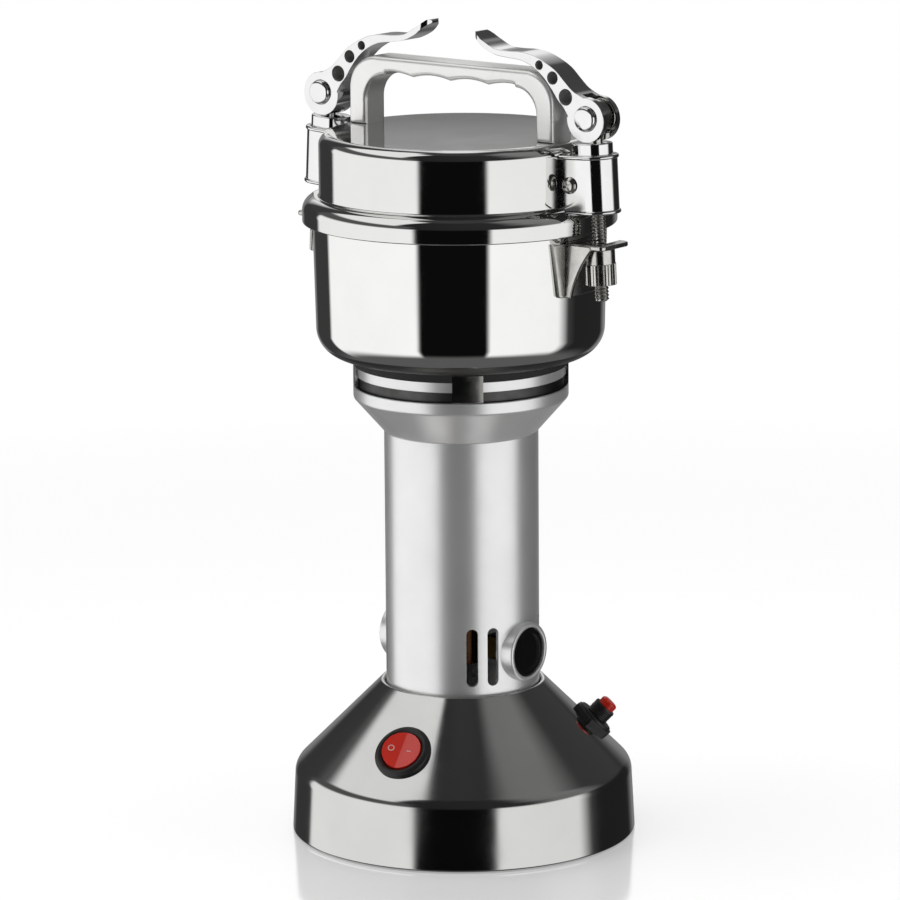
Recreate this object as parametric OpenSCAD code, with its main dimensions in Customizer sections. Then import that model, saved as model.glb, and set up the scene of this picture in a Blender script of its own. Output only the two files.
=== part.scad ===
// Electric coffee grinder: a motor column on a conical base, a steel bowl and a lid held by two cam clamps.
// Millimetres, +Z up. The origin is on the floor at the motor axis, and +X passes through the right clamp.

/* [Base] */
// Radius of the base skirt at its lower edge
base_r = 73.6; // [69:0.2:78]
// Height of the skirt above the floor
skirt_h = 28.8; // [22:0.2:34]
// Slope of the base cone from horizontal, degrees
cone_angle = 45; // [42:1:47]
// Inward lean of the skirt over its height
skirt_draft = 1.5; // [0:0.1:2]
// Rounding between skirt and cone
skirt_round = 7.5; // [2:0.5:9]
// Sheet thickness of base, bowl and lid
sheet_t = 1.2; // [0.8:0.1:1.6]
// Gap between the skirt and the floor
foot_gap = 0.6; // [0.5:0.1:1.6]
// Radius of the rolled edge around the tube
curl_r = 2.5; // [1.8:0.1:3]
// Depth of the rolled hem inside the skirt
hem_w = 5; // [4:0.5:8]
// Height of the rolled hem
hem_h = 3; // [2:0.5:4]
// Thickness of the bottom plate
plate_t = 1.5; // [1:0.1:3]
// Radius of a rubber foot
foot_r = 7.5; // [6.5:0.5:9]
// Distance of the feet from the axis
foot_ring_r = 56; // [48:1:58]

/* [Switches] */
// Distance of the rocker, breaker and gland inward from the skirt
switch_in = 18.5; // [17:0.1:22]
// Angle of the rocker switch around the axis
rocker_angle = -79.5; // [-90:0.5:-70]
// Angle of the reset breaker around the axis
breaker_angle = 40; // [30:1:50]
// Angle of the cord gland around the axis
gland_angle = 160; // [150:1:170]
// Outer radius of the rocker bezel
bezel_r = 12.3; // [12:0.1:14]
// Height of the rocker bezel on the cone
bezel_h = 2.2; // [1.6:0.1:3]
// Radius of the round rocker
rocker_r = 9.1; // [8.5:0.1:9.6]
// Tilt of the rocker to each side, degrees
rocker_tilt = 7; // [4:1:9]
// Radius of the breaker bushing
bushing_r = 5.05; // [4.8:0.05:6]
// Length of the breaker bushing outside the base
bushing_len = 8.8; // [8:0.2:12]
// Thickness of the breaker nut
breaker_nut_h = 3.2; // [3:0.2:6]
// Radius of the reset button
button_r = 3.8; // [3.2:0.1:4]
// Length of the reset button beyond the bushing
button_proud = 3.2; // [2.8:0.2:5]

/* [Motor column] */
// Outer radius of the motor tube
tube_r = 32.75; // [31.5:0.25:35]
// Wall of the motor tube
tube_wall = 2.4; // [1.8:0.2:3]
// Height of the tube above the base cone
tube_h = 110.6; // [104:0.2:120]
// Height of the brush axis above the base cone
brush_up = 18.1; // [16:0.1:20]
// Outer radius of the brush bosses
boss_r = 12.5; // [11.5:0.25:14]
// How far a boss stands out of the tube
boss_out = 3.25; // [2:0.25:5]
// Radius of the brush caps
cap_r = 10.5; // [9:0.25:11]
// Width of a vent slot
vent_w = 5; // [3:0.25:6]
// Length of a vent slot
vent_len = 25; // [16:1:28]
// Radius of the motor shaft
shaft_r = 4; // [3.5:0.25:4.5]
// Radius of both ball bearings
bearing_r = 11; // [10:0.5:12]
// Width of both ball bearings
bearing_w = 7; // [6:0.5:8]
// Length of the armature and stator stacks
stack_len = 44; // [36:1:46]
// Radius of the armature
armature_r = 17.5; // [15:0.5:19]
// Radius of the commutator
commutator_r = 11; // [9:0.5:12]
// Air gap between armature and stator
air_gap = 0.7; // [0.5:0.1:1]
// Width of a carbon brush
brush_a = 6; // [5:0.5:7]
// Height of a carbon brush
brush_b = 7; // [6:0.5:8]
// Width of the ring that holds the tube in the base
tube_ring_w = 9; // [7:0.5:11]
// Number of fan vanes
fan_vanes = 9; // [5:1:13]

/* [Collar] */
// Outer radius of the collar ring
collar_r = 45.6; // [43:0.2:48]
// Height of the flare between tube and ring
flare_h = 14.6; // [12:0.2:18]
// Height of the collar ring
ring_h = 5.1; // [4:0.1:9]
// Rounding between flare and ring
ring_round = 2; // [1:0.1:3]
// Height of the step above the ring
step_h = 4.2; // [3:0.2:6]
// Inset of the step from the ring
step_in = 2; // [1.4:0.1:3]
// Height of the bright seat ring under the bowl
seat_h = 4.3; // [3:0.1:6]
// Inset of the seat ring from the collar ring
seat_in = 1.3; // [1:0.1:1.4]
// Height of the gasket under the bowl
gasket_h = 4.3; // [3:0.1:6]
// Inset of the gasket from the collar ring
gasket_in = 0; // [0:0.1:1]
// Width of the four seat tabs
tab_w = 13; // [10:0.5:16]
// Angle of the first seat tab
tab_angle = 41.5; // [35:0.5:50]

/* [Bowl] */
// Outer radius of the bowl under the lid flange
bowl_r = 62; // [58:0.2:66]
// How much the bowl narrows from the lid flange to its foot
bowl_draft = 1.3; // [0:0.1:2]
// Height of the bowl below the lid flange
bowl_h = 57.1; // [52:0.5:70]
// Corner radius at the bottom of the bowl
bowl_corner = 12.3; // [9:0.1:18]
// Height of the bowl rim inside the lid flange
rim_up = 3.5; // [2.5:0.1:4]
// Radius of the rolled bead on the rim
bead_r = 1.1; // [0.8:0.1:1.4]
// Distance of the bowl screws from the axis
bowl_screw_ring_r = 34; // [30:1:38]

/* [Blades] */
// Reach of the lower blade from the axis
lower_blade_r = 51; // [40:1:54]
// Reach of the upper blade from the axis
upper_blade_r = 40; // [30:1:48]
// Width of the lower blade at its hub
blade_root_w = 15; // [12:0.5:17]
// Blade thickness
blade_t = 2; // [1.5:0.1:3]
// Height of the lower blade above the bowl floor
blade_up = 8; // [7:0.5:12]
// Distance between the two blades
blade_pitch = 9; // [6:0.5:14]

/* [Lid] */
// Step in from the bowl to the lid wall
lid_step = 2.8; // [1.6:0.1:4]
// Overhang of the lid flange beyond the bowl
flange_over = 4.3; // [3.6:0.1:6]
// Upright height of the lid flange
flange_h = 5; // [4:0.1:7]
// Rounding on top of the flange
flange_round = 6; // [5:0.1:6.4]
// Height of the lid from flange edge to top
lid_h = 37.5; // [34:0.5:44]
// Rounding of the lid shoulder
lid_round = 5; // [3:0.5:7]

/* [Handle] */
// Height of the handle above the lid
handle_h = 29.5; // [26:0.5:36]
// Width of the handle across the bar
handle_w = 14; // [11:0.5:18]
// Thickness of the handle legs
leg_t = 9; // [7:0.5:11]
// Thickness of the bar at the finger ridges
bar_t = 7.7; // [6:0.1:10]
// Outer corner radius of the handle
handle_corner = 17; // [14:0.5:19]
// Inner corner radius of the handle
handle_inner = 11; // [8:0.5:13]
// Inset of the legs from the edge of the flat lid top
handle_inset = 0.2; // [0.2:0.1:3]
// Radius of the screws that hold the handle
handle_screw_r = 2.4; // [2:0.1:2.8]
// Length of those screws in the handle
handle_screw_len = 12; // [9:0.5:14]
// Spacing of the finger hollows
finger_pitch = 20; // [16:0.5:21]
// Depth of the finger hollows
finger_dip = 1.4; // [0.6:0.1:2]

/* [Clamps] */
// Rod diameter
rod_d = 6; // [5:0.5:7]
// Distance of the lever pivots beyond the lid flange
clamp_out = 4; // [3:0.1:6]
// Lean of the rods and guides, lower ends outwards, degrees
clamp_lean = 3; // [0:0.5:4]
// Height of the handle top above the lever pivot
pivot_drop = 17.9; // [16:0.1:19]
// Radius of the lever's cam ring
cam_r = 9.3; // [8.6:0.1:10.5]
// Offset of the cam ring from its pivot towards the axis
cam_in = 0.25; // [0:0.05:0.5]
// Offset of the cam ring below its pivot
cam_drop = 0.6; // [0.4:0.05:0.8]
// Radius of the pivot pin
pin_r = 5.2; // [4:0.1:5.4]
// How far the pin stands out of the lever on each side
pin_proud = 2; // [0.5:0.1:3]
// Overall width of the lever
lever_w = 11.8; // [11:0.1:14]
// Thickness of the rod eye between the lever's prongs
eye_t = 5.4; // [5.2:0.1:6.2]
// Radius of the rod eye
eye_r = 7.6; // [7:0.1:8]
// Reach of the lever from its pivot
lever_len = 59.8; // [54:0.2:62]
// Space between the lever and the handle corner
lever_gap = 0.8; // [0.6:0.1:2]
// How far the left lever stands open at rest, degrees
left_open = 3; // [0:0.5:8]
// Half width of the guide block
guide_r = 7.2; // [5.5:0.1:7.5]
// Length of the flat sides of the guide's neck
neck_len = 3.2; // [0:0.2:4]
// Sheet thickness of the guide cover
cover_t = 1.4; // [0.8:0.1:1.6]
// Height of the guide cover
cover_h = 24.6; // [20:0.2:24.8]
// How far the guide block stands above its cover
guide_proud = 4.8; // [4:0.1:8]
// Thickness of the slotted bowl bracket
bracket_t = 2; // [1.5:0.1:3]
// Half width of the slotted plate
bracket_half = 9.75; // [8.5:0.25:12]
// Reach of the slotted plate beyond the rod
bracket_out = 8.5; // [5:0.5:10]
// Height of the bracket's back plate
back_h = 23; // [18:0.5:28]
// Length of the gusset under the slotted plate
gusset_w = 13.5; // [10:0.5:15]
// Drop of the slotted plate below the lid flange
bracket_drop = 2.5; // [2:0.1:6]
// Radius of the knurled nut
nut_r = 6.5; // [5.5:0.05:7]
// Height of the knurled part of the nut
nut_h = 9; // [6:0.5:10]
// Height of the smooth neck of the nut
nut_neck_h = 6; // [5:0.5:8]
// Length of rod below the nut
rod_tail = 6.8; // [3:0.2:10]

/* [Fits] */
// Radial running clearance of shafts, pins and rods
run_fit = 0.08; // [0.04:0.01:0.1]
// Clearance between pieces that are fixed together
seat_fit = 0.05; // [0.02:0.01:0.1]
// Clearance between pieces that move past each other
move_gap = 0.3; // [0.3:0.05:0.5]
// Clearance of a screw in its hole
screw_fit = 0.15; // [0.1:0.05:0.3]

/* [Hidden] */
$fn = 96;
eps = 0.01;
cut = 60;
bolt_turns = [45, 135, 225, 315];

// Base
skirt_top_r = base_r - skirt_draft;
switch_ring_r = base_r - switch_in;
cone_hole_r = tube_r + 0.4;
skin_drop = sheet_t / cos(cone_angle);
function cone_z(r) = skirt_h + (skirt_top_r - r) * tan(cone_angle);
curl_z = cone_z(cone_hole_r + curl_r) - curl_r / cos(cone_angle);
cone_top = curl_z + curl_r;
skirt_lean = atan(skirt_draft / (skirt_h - foot_gap));
skirt_turn = 90 - cone_angle;
skirt_reach = skirt_round * tan((skirt_turn - skirt_lean) / 2);
skirt_corner = [
    skirt_top_r + skirt_reach * sin(skirt_lean) - skirt_round * cos(skirt_lean),
    skirt_h - skirt_reach * cos(skirt_lean) - skirt_round * sin(skirt_lean)];
plate_z = foot_gap + hem_h;
foot_screw_r = 1.5;
foot_head_r = 3.6;
foot_head_h = 1.6;
foot_floor = 1.8;
foot_nut_h = 2.4;

// Motor column
tube_in = tube_r - tube_wall;
tube_low = cone_top - 12;
tube_top = cone_top + tube_h;
brush_z = cone_top + brush_up;
boss_face = tube_r + boss_out;
bracket_h = bearing_w + 2;
stack_low = brush_z + 16;
stack_top = stack_low + stack_len;
coil_end = 5.5;
fan_z = stack_top + 9;
fan_h = 11;
fan_r = tube_in - 3;
stator_bore = armature_r + air_gap;
yoke_t = 4;
window_half = stator_bore - 3.2;
commutator_half = brush_b + 1;

// Collar and bowl seat
ring_z = tube_top + flare_h;
flare_lean = atan2(collar_r - tube_r, flare_h);
step_z = ring_z + ring_h;
collar_top = step_z + step_h;
gasket_z = collar_top + seat_h;
bowl_z = gasket_z + gasket_h;
spigot_h = 8;
web_t = 4;
collar_wall = 2.8;
bearing_top = collar_top - web_t;
seal_r = shaft_r + 4.6;
bowl_screw_r = 2;
bowl_screw_head_r = 3.8;
bowl_screw_head_h = 2.4;

// Bowl and blades
lid_z = bowl_z + bowl_h;
rim_z = lid_z + rim_up;
bowl_lean = atan(bowl_draft / bowl_h);
function bowl_wall(z) = bowl_r - (lid_z - z) * tan(bowl_lean);
rim_r = bowl_wall(rim_z - bead_r);
bowl_floor = bowl_z + sheet_t;
seal_top = bowl_floor + 3;
lower_blade_z = bowl_floor + blade_up;
upper_blade_z = lower_blade_z + blade_pitch;
blade_nut_h = 6;
blade_hub_r = 8;
shaft_top = upper_blade_z + blade_t + blade_nut_h;

// Lid and handle
lid_r = bowl_r - lid_step;
flange_r = bowl_r + flange_over;
lid_top = lid_z + lid_h;
handle_half = lid_r - lid_round - handle_inset;
handle_top = lid_top + handle_h;
leg_in = handle_half - leg_t;
handle_screw_head_r = 1.75 * handle_screw_r;
handle_screw_head_h = 1.1 * handle_screw_r;
finger_r = (pow(finger_pitch / 2, 2) + pow(finger_dip, 2)) / (2 * finger_dip);

// Clamps
rod_r = rod_d / 2;
clamp_r = flange_r + clamp_out;
pivot_z = handle_top - pivot_drop;
guide_top = pivot_z - cam_r - cam_drop - move_gap;
cover_top = guide_top - guide_proud;
cover_low = cover_top - cover_h;
cover_r = guide_r + move_gap + cover_t;
lip_out = 0.7;
lip_h = 1.8;
cover_screw_x = clamp_r - 7.4;
cover_screw_z = (cover_top + cover_low) / 2;
cover_screw_r = 1.6;
cover_screw_head_r = 3.5;
prong_gap = max(eye_t, rod_d) + 2 * move_gap;
plate_top = lid_z - bracket_drop;
plate_low = plate_top - bracket_t;
plate_r = clamp_r + (pivot_z - plate_top + bracket_t / 2) * tan(clamp_lean);
nut_top = pivot_z - (pivot_z - plate_low) / cos(clamp_lean) - nut_r * tan(clamp_lean) - move_gap;
nut_low = nut_top - nut_neck_h - nut_h;
rod_low = nut_low - rod_tail;
back_half = 16.5;
back_taper = 9;
slot_half = rod_r + 0.5;
gusset_y = -bracket_half - 0.5;
// Centre of the handle's corner, seen from the pivot: towards the axis and up
corner_u = clamp_r - handle_half + handle_corner;
corner_w = handle_top - handle_corner - pivot_z;

// Points on an arc
function arc(centre, r, from, to, steps) =
    [for (i = [0 : steps])
        let (turn = from + (to - from) * i / steps)
            centre + r * [cos(turn), sin(turn)]];

// One stretch of a smooth curve through points b and c, with a and d as neighbours
function stretch(a, b, c, d, t) =
    0.5 * (2 * b + (c - a) * t + (2 * a - 5 * b + 4 * c - d) * t * t + (3 * b - a - 3 * c + d) * t * t * t);

// Smooth curve through a list of points
function smooth(p, steps) = concat(
    [for (i = [0 : len(p) - 2])
        for (s = [0 : steps - 1])
            stretch(p[max(i - 1, 0)], p[i], p[i + 1], p[min(i + 2, len(p) - 1)], s / steps)],
    [p[len(p) - 1]]);

function reversed(p) = [for (i = [len(p) - 1 : -1 : 0]) p[i]];

// Shapes that repeat
module ring(outer, inner, low, high) {
    translate([0, 0, low])
        difference() {
            cylinder(r = outer, h = high - low);
            translate([0, 0, -1]) cylinder(r = inner, h = high - low + 2);
        }
}

module rod_between(r, low, high) {
    translate([0, 0, low]) cylinder(r = r, h = high - low);
}

module around(turns, r) {
    for (turn = turns)
        rotate([0, 0, turn]) translate([r, 0, 0]) children();
}

// Puts a piece on the cone with Z square to the sheet, X down the slope and Y along the ring
module on_cone(angle) {
    rotate([0, 0, angle])
        translate([switch_ring_r, 0, cone_z(switch_ring_r)])
            rotate([0, cone_angle, 0]) children();
}

// The space inside the outer face of the base
module base_space(extra) {
    tip = cone_z(cone_hole_r) + extra / cos(cone_angle);
    rotate_extrude()
        polygon(concat(
            [[0, foot_gap], [base_r + extra, foot_gap]],
            arc(skirt_corner, skirt_round + extra, skirt_lean, skirt_turn, 8),
            [[cone_hole_r, tip], [0, tip]]));
}

module base_shell() {
    curl = [cone_hole_r + curl_r, curl_z];
    color("silver")
        difference() {
            rotate_extrude()
                polygon(concat(
                    [[base_r - hem_w, foot_gap], [base_r, foot_gap]],
                    arc(skirt_corner, skirt_round, skirt_lean, skirt_turn, 8),
                    arc(curl, curl_r, skirt_turn, 180, 12),
                    arc(curl, curl_r - sheet_t, 180, skirt_turn, 12),
                    reversed(arc(skirt_corner, skirt_round - sheet_t, skirt_lean, skirt_turn, 8)),
                    [[base_r - sheet_t, plate_z], [base_r - hem_w, plate_z]]));
            on_cone(rocker_angle) rod_between(rocker_body_r + seat_fit, -cut / 4, cut / 4);
            on_cone(breaker_angle) rod_between(bushing_r + screw_fit, -cut / 4, cut / 4);
            on_cone(gland_angle) rod_between(gland_r + seat_fit, -cut / 4, cut / 4);
        }
}

module base_plate() {
    color("darkgray")
        difference() {
            rod_between(base_r - sheet_t - skirt_draft - move_gap, plate_z, plate_z + plate_t);
            around(bolt_turns, foot_ring_r) rod_between(foot_screw_r + screw_fit, 0, cut);
        }
}

module rubber_feet() {
    color("dimgray")
        around(bolt_turns, foot_ring_r)
            difference() {
                rod_between(foot_r, 0, plate_z);
                rod_between(foot_head_r + screw_fit, -1, plate_z - foot_floor);
                rod_between(foot_screw_r + screw_fit, -1, plate_z + 1);
            }
}

module foot_screws() {
    color("silver")
        around(bolt_turns, foot_ring_r)
            union() {
                rod_between(foot_head_r, plate_z - foot_floor - foot_head_h, plate_z - foot_floor);
                rod_between(foot_screw_r, plate_z - foot_floor - eps, plate_z + plate_t + foot_nut_h + 1);
            }
}

module foot_nuts() {
    color("gainsboro")
        around(bolt_turns, foot_ring_r)
            difference() {
                translate([0, 0, plate_z + plate_t])
                    cylinder(r = 2.1 * foot_screw_r, h = foot_nut_h, $fn = 6);
                rod_between(foot_screw_r + seat_fit, 0, cut);
            }
}

// Rocker switch
rocker_body_r = 10.1;
rocker_body_len = 17;
rocker_pivot = 0.9;
pocket_r = rocker_r + move_gap;
pocket_floor = -6;
bezel_sink = 1.6;
trunnion_r = 0.9;
trunnion_reach = pocket_r + 1.2;

// A cylinder on the rocker's own axis, which runs down the slope
module trunnion(r, reach) {
    translate([-reach, 0, 0]) rotate([0, 90, 0]) cylinder(r = r, h = 2 * reach);
}

module rocker_bezel() {
    color("black")
        difference() {
            union() {
                difference() {
                    on_cone(rocker_angle)
                        union() {
                            rod_between(bezel_r, -bezel_sink, bezel_h - 1);
                            translate([0, 0, bezel_h - 1 - eps])
                                cylinder(r1 = bezel_r, r2 = bezel_r - 0.8, h = 1 + eps);
                        }
                    base_space(seat_fit);
                }
                on_cone(rocker_angle) rod_between(rocker_body_r, -rocker_body_len, 0);
            }
            on_cone(rocker_angle) rod_between(pocket_r, pocket_floor, cut);
            on_cone(rocker_angle)
                translate([0, 0, rocker_pivot]) trunnion(trunnion_r + run_fit, trunnion_reach + move_gap);
        }
}

// The space under the rocker's two sloping faces
module rocker_wedge() {
    wing = rocker_r * tan(rocker_tilt);
    side = rocker_r + 1;
    rise = bezel_h - rocker_pivot;
    rotate([90, 0, 90])
        translate([0, 0, -side])
            linear_extrude(2 * side)
                polygon([
                    [-side, pocket_floor + 1], [side, pocket_floor + 1],
                    [side, rise + wing], [0, rise], [-side, rise + wing]]);
}

module rocker() {
    color("red")
        on_cone(rocker_angle)
            translate([0, 0, rocker_pivot])
                rotate([-rocker_tilt, 0, 0])
                    union() {
                        intersection() {
                            sphere(r = rocker_r);
                            rocker_wedge();
                        }
                        trunnion(trunnion_r, trunnion_reach);
                    }
}

// Reset breaker
breaker_body_r = 7;
breaker_body_len = 20;
breaker_skin = 1.8;
button_travel = 2.5;
button_low = bushing_len + button_proud - 11;

module breaker_body() {
    color("black")
        on_cone(breaker_angle)
            difference() {
                union() {
                    rod_between(bushing_r, -breaker_skin - eps, bushing_len);
                    rod_between(breaker_body_r, -breaker_body_len, -breaker_skin);
                }
                rod_between(button_r + run_fit, button_low - button_travel - move_gap, cut);
            }
}

module breaker_nut() {
    color("black")
        difference() {
            on_cone(breaker_angle)
                translate([0, 0, -1])
                    rotate([0, 0, 15]) cylinder(r = 2.1 * bushing_r, h = breaker_nut_h + 1, $fn = 6);
            base_space(seat_fit);
            on_cone(breaker_angle) rod_between(bushing_r + seat_fit, -cut / 4, cut / 4);
        }
}

module breaker_button() {
    color("red")
        on_cone(breaker_angle)
            union() {
                rod_between(button_r, button_low, bushing_len + button_proud - 0.5);
                translate([0, 0, bushing_len + button_proud - 0.5 - eps])
                    cylinder(r1 = button_r, r2 = button_r - 0.5, h = 0.5 + eps);
            }
}

// Cord gland
gland_r = 6;
gland_bore_r = 3.6;
gland_flange_r = 8.5;
gland_flange_h = 3;
gland_len = 9;

module cord_gland() {
    color("black")
        difference() {
            union() {
                difference() {
                    on_cone(gland_angle)
                        union() {
                            rod_between(gland_flange_r, -1, gland_flange_h - 1);
                            translate([0, 0, gland_flange_h - 1 - eps])
                                cylinder(r1 = gland_flange_r, r2 = gland_r, h = 1 + eps);
                        }
                    base_space(seat_fit);
                }
                on_cone(gland_angle) rod_between(gland_r, -gland_len, 0);
            }
            on_cone(gland_angle) rod_between(gland_bore_r, -cut, cut);
        }
}

module gland_nut() {
    color("black")
        on_cone(gland_angle)
            difference() {
                translate([0, 0, -gland_len + 1])
                    cylinder(r = 1.5 * gland_r, h = gland_len - 1 - breaker_skin, $fn = 6);
                rod_between(gland_r + seat_fit, -cut / 4, cut / 4);
            }
}

// A cylinder along X on the brush axis, from one distance to another
module brush_rod(r, from, to) {
    translate([from, 0, brush_z]) rotate([0, 90, 0]) cylinder(r = r, h = to - from);
}

module both_sides() {
    for (side = [0, 180])
        rotate([0, 0, side]) children();
}

module vent_cut() {
    straight = vent_len - vent_w;
    translate([tube_in - 4, 0, brush_z])
        union() {
            translate([0, -vent_w / 2, -straight / 2]) cube([tube_wall + 8, vent_w, straight]);
            for (end = [-1, 1])
                translate([0, 0, end * straight / 2])
                    rotate([0, 90, 0]) cylinder(r = vent_w / 2, h = tube_wall + 8);
        }
}

vent_turns = [29, 45];

module motor_tube() {
    color("lightgray")
        difference() {
            union() {
                rod_between(tube_r, tube_low, tube_top);
                both_sides() brush_rod(boss_r, 0, boss_face);
            }
            rod_between(tube_in, tube_low - 1, tube_top + 1);
            both_sides() brush_rod(cap_r + seat_fit, 0, cut);
            both_sides()
                for (turn = vent_turns, side = [-1, 1])
                    rotate([0, 0, side * turn]) vent_cut();
        }
}

module tube_ring() {
    inner = tube_r + seat_fit;
    outer = inner + tube_ring_w;
    skin_gap = skin_drop + seat_fit * 2;
    top_z = curl_z - 2 * seat_fit;
    top_r = skirt_top_r - (top_z + skin_gap - skirt_h) / tan(cone_angle);
    color("gray")
        rotate_extrude()
            polygon([
                [inner, tube_low], [outer, tube_low], [outer, cone_z(outer) - skin_gap],
                [top_r, top_z], [inner, top_z]]);
}

module lower_bracket() {
    color("silver")
        difference() {
            rod_between(tube_in - seat_fit, tube_low, tube_low + bracket_h);
            rod_between(bearing_r + seat_fit, tube_low + 2, cut * 3);
            rod_between(shaft_r + 1, tube_low - 1, cut * 3);
            around([0 : 60 : 300], (bearing_r + tube_in) / 2 + 1) rod_between(5, tube_low - 1, cut * 3);
        }
}

module lower_bearing() {
    color("gainsboro") ring(bearing_r, shaft_r + run_fit, tube_low + 2, tube_low + 2 + bearing_w);
}

module upper_bearing() {
    color("gainsboro") ring(bearing_r, shaft_r + run_fit, bearing_top - bearing_w, bearing_top);
}

holder_wall = 1.2;
brush_len = 12;
brush_low = commutator_r + move_gap;
cap_t = 3.5;
cap_sink = 0.8;
holder_out = boss_face - cap_sink - cap_t;

// A square bar along X on the brush axis
module brush_bar(a, b, from, to) {
    translate([from, -a / 2, brush_z - b / 2]) cube([to - from, a, b]);
}

module brush_holders() {
    color("goldenrod")
        both_sides()
            difference() {
                union() {
                    brush_bar(
                        brush_a + 2 * holder_wall, brush_b + 2 * holder_wall, brush_low + 3, holder_out);
                    brush_rod(cap_r, holder_out - 2, holder_out);
                }
                brush_bar(brush_a + 2 * seat_fit, brush_b + 2 * seat_fit, 0, cut);
            }
}

module carbon_brushes() {
    color("darkslategray")
        both_sides()
            difference() {
                brush_bar(brush_a, brush_b, brush_low - 1, brush_low + brush_len);
                rod_between(brush_low, 0, cut * 3);
            }
}

module brush_springs() {
    color("silver")
        both_sides()
            difference() {
                brush_rod(brush_a / 2 - 0.3, brush_low + brush_len, holder_out);
                brush_rod(brush_a / 2 - 1, 0, cut);
            }
}

module brush_caps() {
    color("black")
        both_sides()
            difference() {
                brush_rod(cap_r, holder_out, boss_face - cap_sink);
                brush_rod(cap_r - 2.5, boss_face - cap_sink - 0.8, cut);
            }
}

module stator_core() {
    color("slategray")
        difference() {
            ring(tube_in - seat_fit, stator_bore, stack_low, stack_top);
            for (side = [-1, 1])
                intersection() {
                    rod_between(tube_in - yoke_t, stack_low - 1, stack_top + 1);
                    translate([side * cut / 2, 0, stack_low + stack_len / 2])
                        cube([cut, 2 * window_half, stack_len + 4], center = true);
                }
        }
}

module stator_coils() {
    coil_r = stator_bore + 1.2;
    color("peru")
        for (side = [0, 180])
            rotate([0, 0, side])
                difference() {
                    ring(tube_in - yoke_t - 1, coil_r, stack_low - coil_end, stack_top + coil_end);
                    translate([-cut, -cut * 2 + 2.5, 0]) cube([cut * 2, cut * 2, cut * 5]);
                    translate([-cut, window_half - seat_fit, stack_low - seat_fit])
                        cube([cut * 2, cut, stack_len + 2 * seat_fit]);
                }
}

module motor_shaft() {
    color("silver") rod_between(shaft_r, tube_low + 1, shaft_top);
}

module commutator() {
    color("darkgoldenrod")
        difference() {
            ring(commutator_r, shaft_r + seat_fit, brush_z - commutator_half, brush_z + commutator_half);
            for (bar = [0 : 11])
                rotate([0, 0, bar * 30])
                    translate([commutator_r - 1.5, -0.3, brush_z - commutator_half + 1])
                        cube([3, 0.6, 2 * commutator_half]);
        }
}

module armature_core() {
    color("slategray")
        difference() {
            ring(armature_r, shaft_r + seat_fit, stack_low, stack_top);
            for (slot = [0 : 11])
                rotate([0, 0, slot * 30])
                    translate([armature_r - 6, -1.2, stack_low - 1]) cube([8, 2.4, stack_len + 2]);
        }
}

module armature_windings() {
    color("peru")
        union() {
            ring(armature_r - 2.5, shaft_r + 2, stack_low - coil_end, stack_low);
            ring(armature_r - 2.5, shaft_r + 2, stack_top, stack_top + coil_end);
        }
}

module cooling_fan() {
    color("dimgray")
        difference() {
            union() {
                rod_between(fan_r, fan_z, fan_z + 1.6);
                rod_between(shaft_r + 4, fan_z, fan_z + fan_h);
                for (vane = [1 : fan_vanes])
                    rotate([0, 0, vane * 360 / fan_vanes])
                        translate([shaft_r + 3, -0.7, fan_z]) cube([fan_r - shaft_r - 4, 1.4, fan_h]);
            }
            rod_between(shaft_r + seat_fit, fan_z - 1, fan_z + fan_h + 1);
        }
}

module collar() {
    spigot_r = tube_in - seat_fit;
    boss_out_r = bearing_r + 3;
    color("lightgray")
        difference() {
            rotate_extrude()
                polygon(concat(
                    [[tube_r, tube_top]],
                    arc([collar_r - ring_round, ring_z + ring_round * tan(flare_lean / 2)],
                        ring_round, -flare_lean, 0, 6),
                    [[collar_r, step_z], [collar_r - step_in, step_z],
                    [collar_r - step_in, collar_top], [shaft_r + 2, collar_top], [shaft_r + 2, bearing_top],
                    [bearing_r + seat_fit, bearing_top], [bearing_r + seat_fit, bearing_top - bearing_w - 1],
                    [boss_out_r, bearing_top - bearing_w - 1], [boss_out_r, bearing_top],
                    [collar_r - collar_wall, bearing_top], [collar_r - collar_wall, ring_z + 0.5],
                    [spigot_r - collar_wall, tube_top + 0.5], [spigot_r - collar_wall, tube_top - spigot_h],
                    [spigot_r, tube_top - spigot_h], [spigot_r, tube_top]]));
            around(bolt_turns, bowl_screw_ring_r) rod_between(bowl_screw_r + seat_fit, 0, cut * 5);
        }
}

// One seat tab, as deep as the clearance asks
module seat_tab(extra) {
    inner = collar_r - step_in + seat_fit;
    intersection() {
        ring(collar_r + extra, inner - extra, step_z, bowl_z - 1 + extra);
        translate([0, -tab_w / 2 - extra, 0]) cube([cut * 2, tab_w + 2 * extra, cut * 5]);
    }
}

module seat_tabs(extra) {
    for (turn = [0 : 90 : 270])
        rotate([0, 0, tab_angle + turn]) seat_tab(extra);
}

module bowl_seat() {
    color("silver")
        difference() {
            union() {
                ring(collar_r - seat_in, seal_r + 2, collar_top, gasket_z);
                seat_tabs(0);
            }
            around(bolt_turns, bowl_screw_ring_r) rod_between(bowl_screw_r + screw_fit, 0, cut * 5);
        }
}

module bowl_gasket() {
    color("black")
        difference() {
            ring(collar_r - gasket_in, seal_r + 2, gasket_z, bowl_z);
            seat_tabs(seat_fit);
            around(bolt_turns, bowl_screw_ring_r) rod_between(bowl_screw_r + screw_fit, 0, cut * 5);
        }
}

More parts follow.
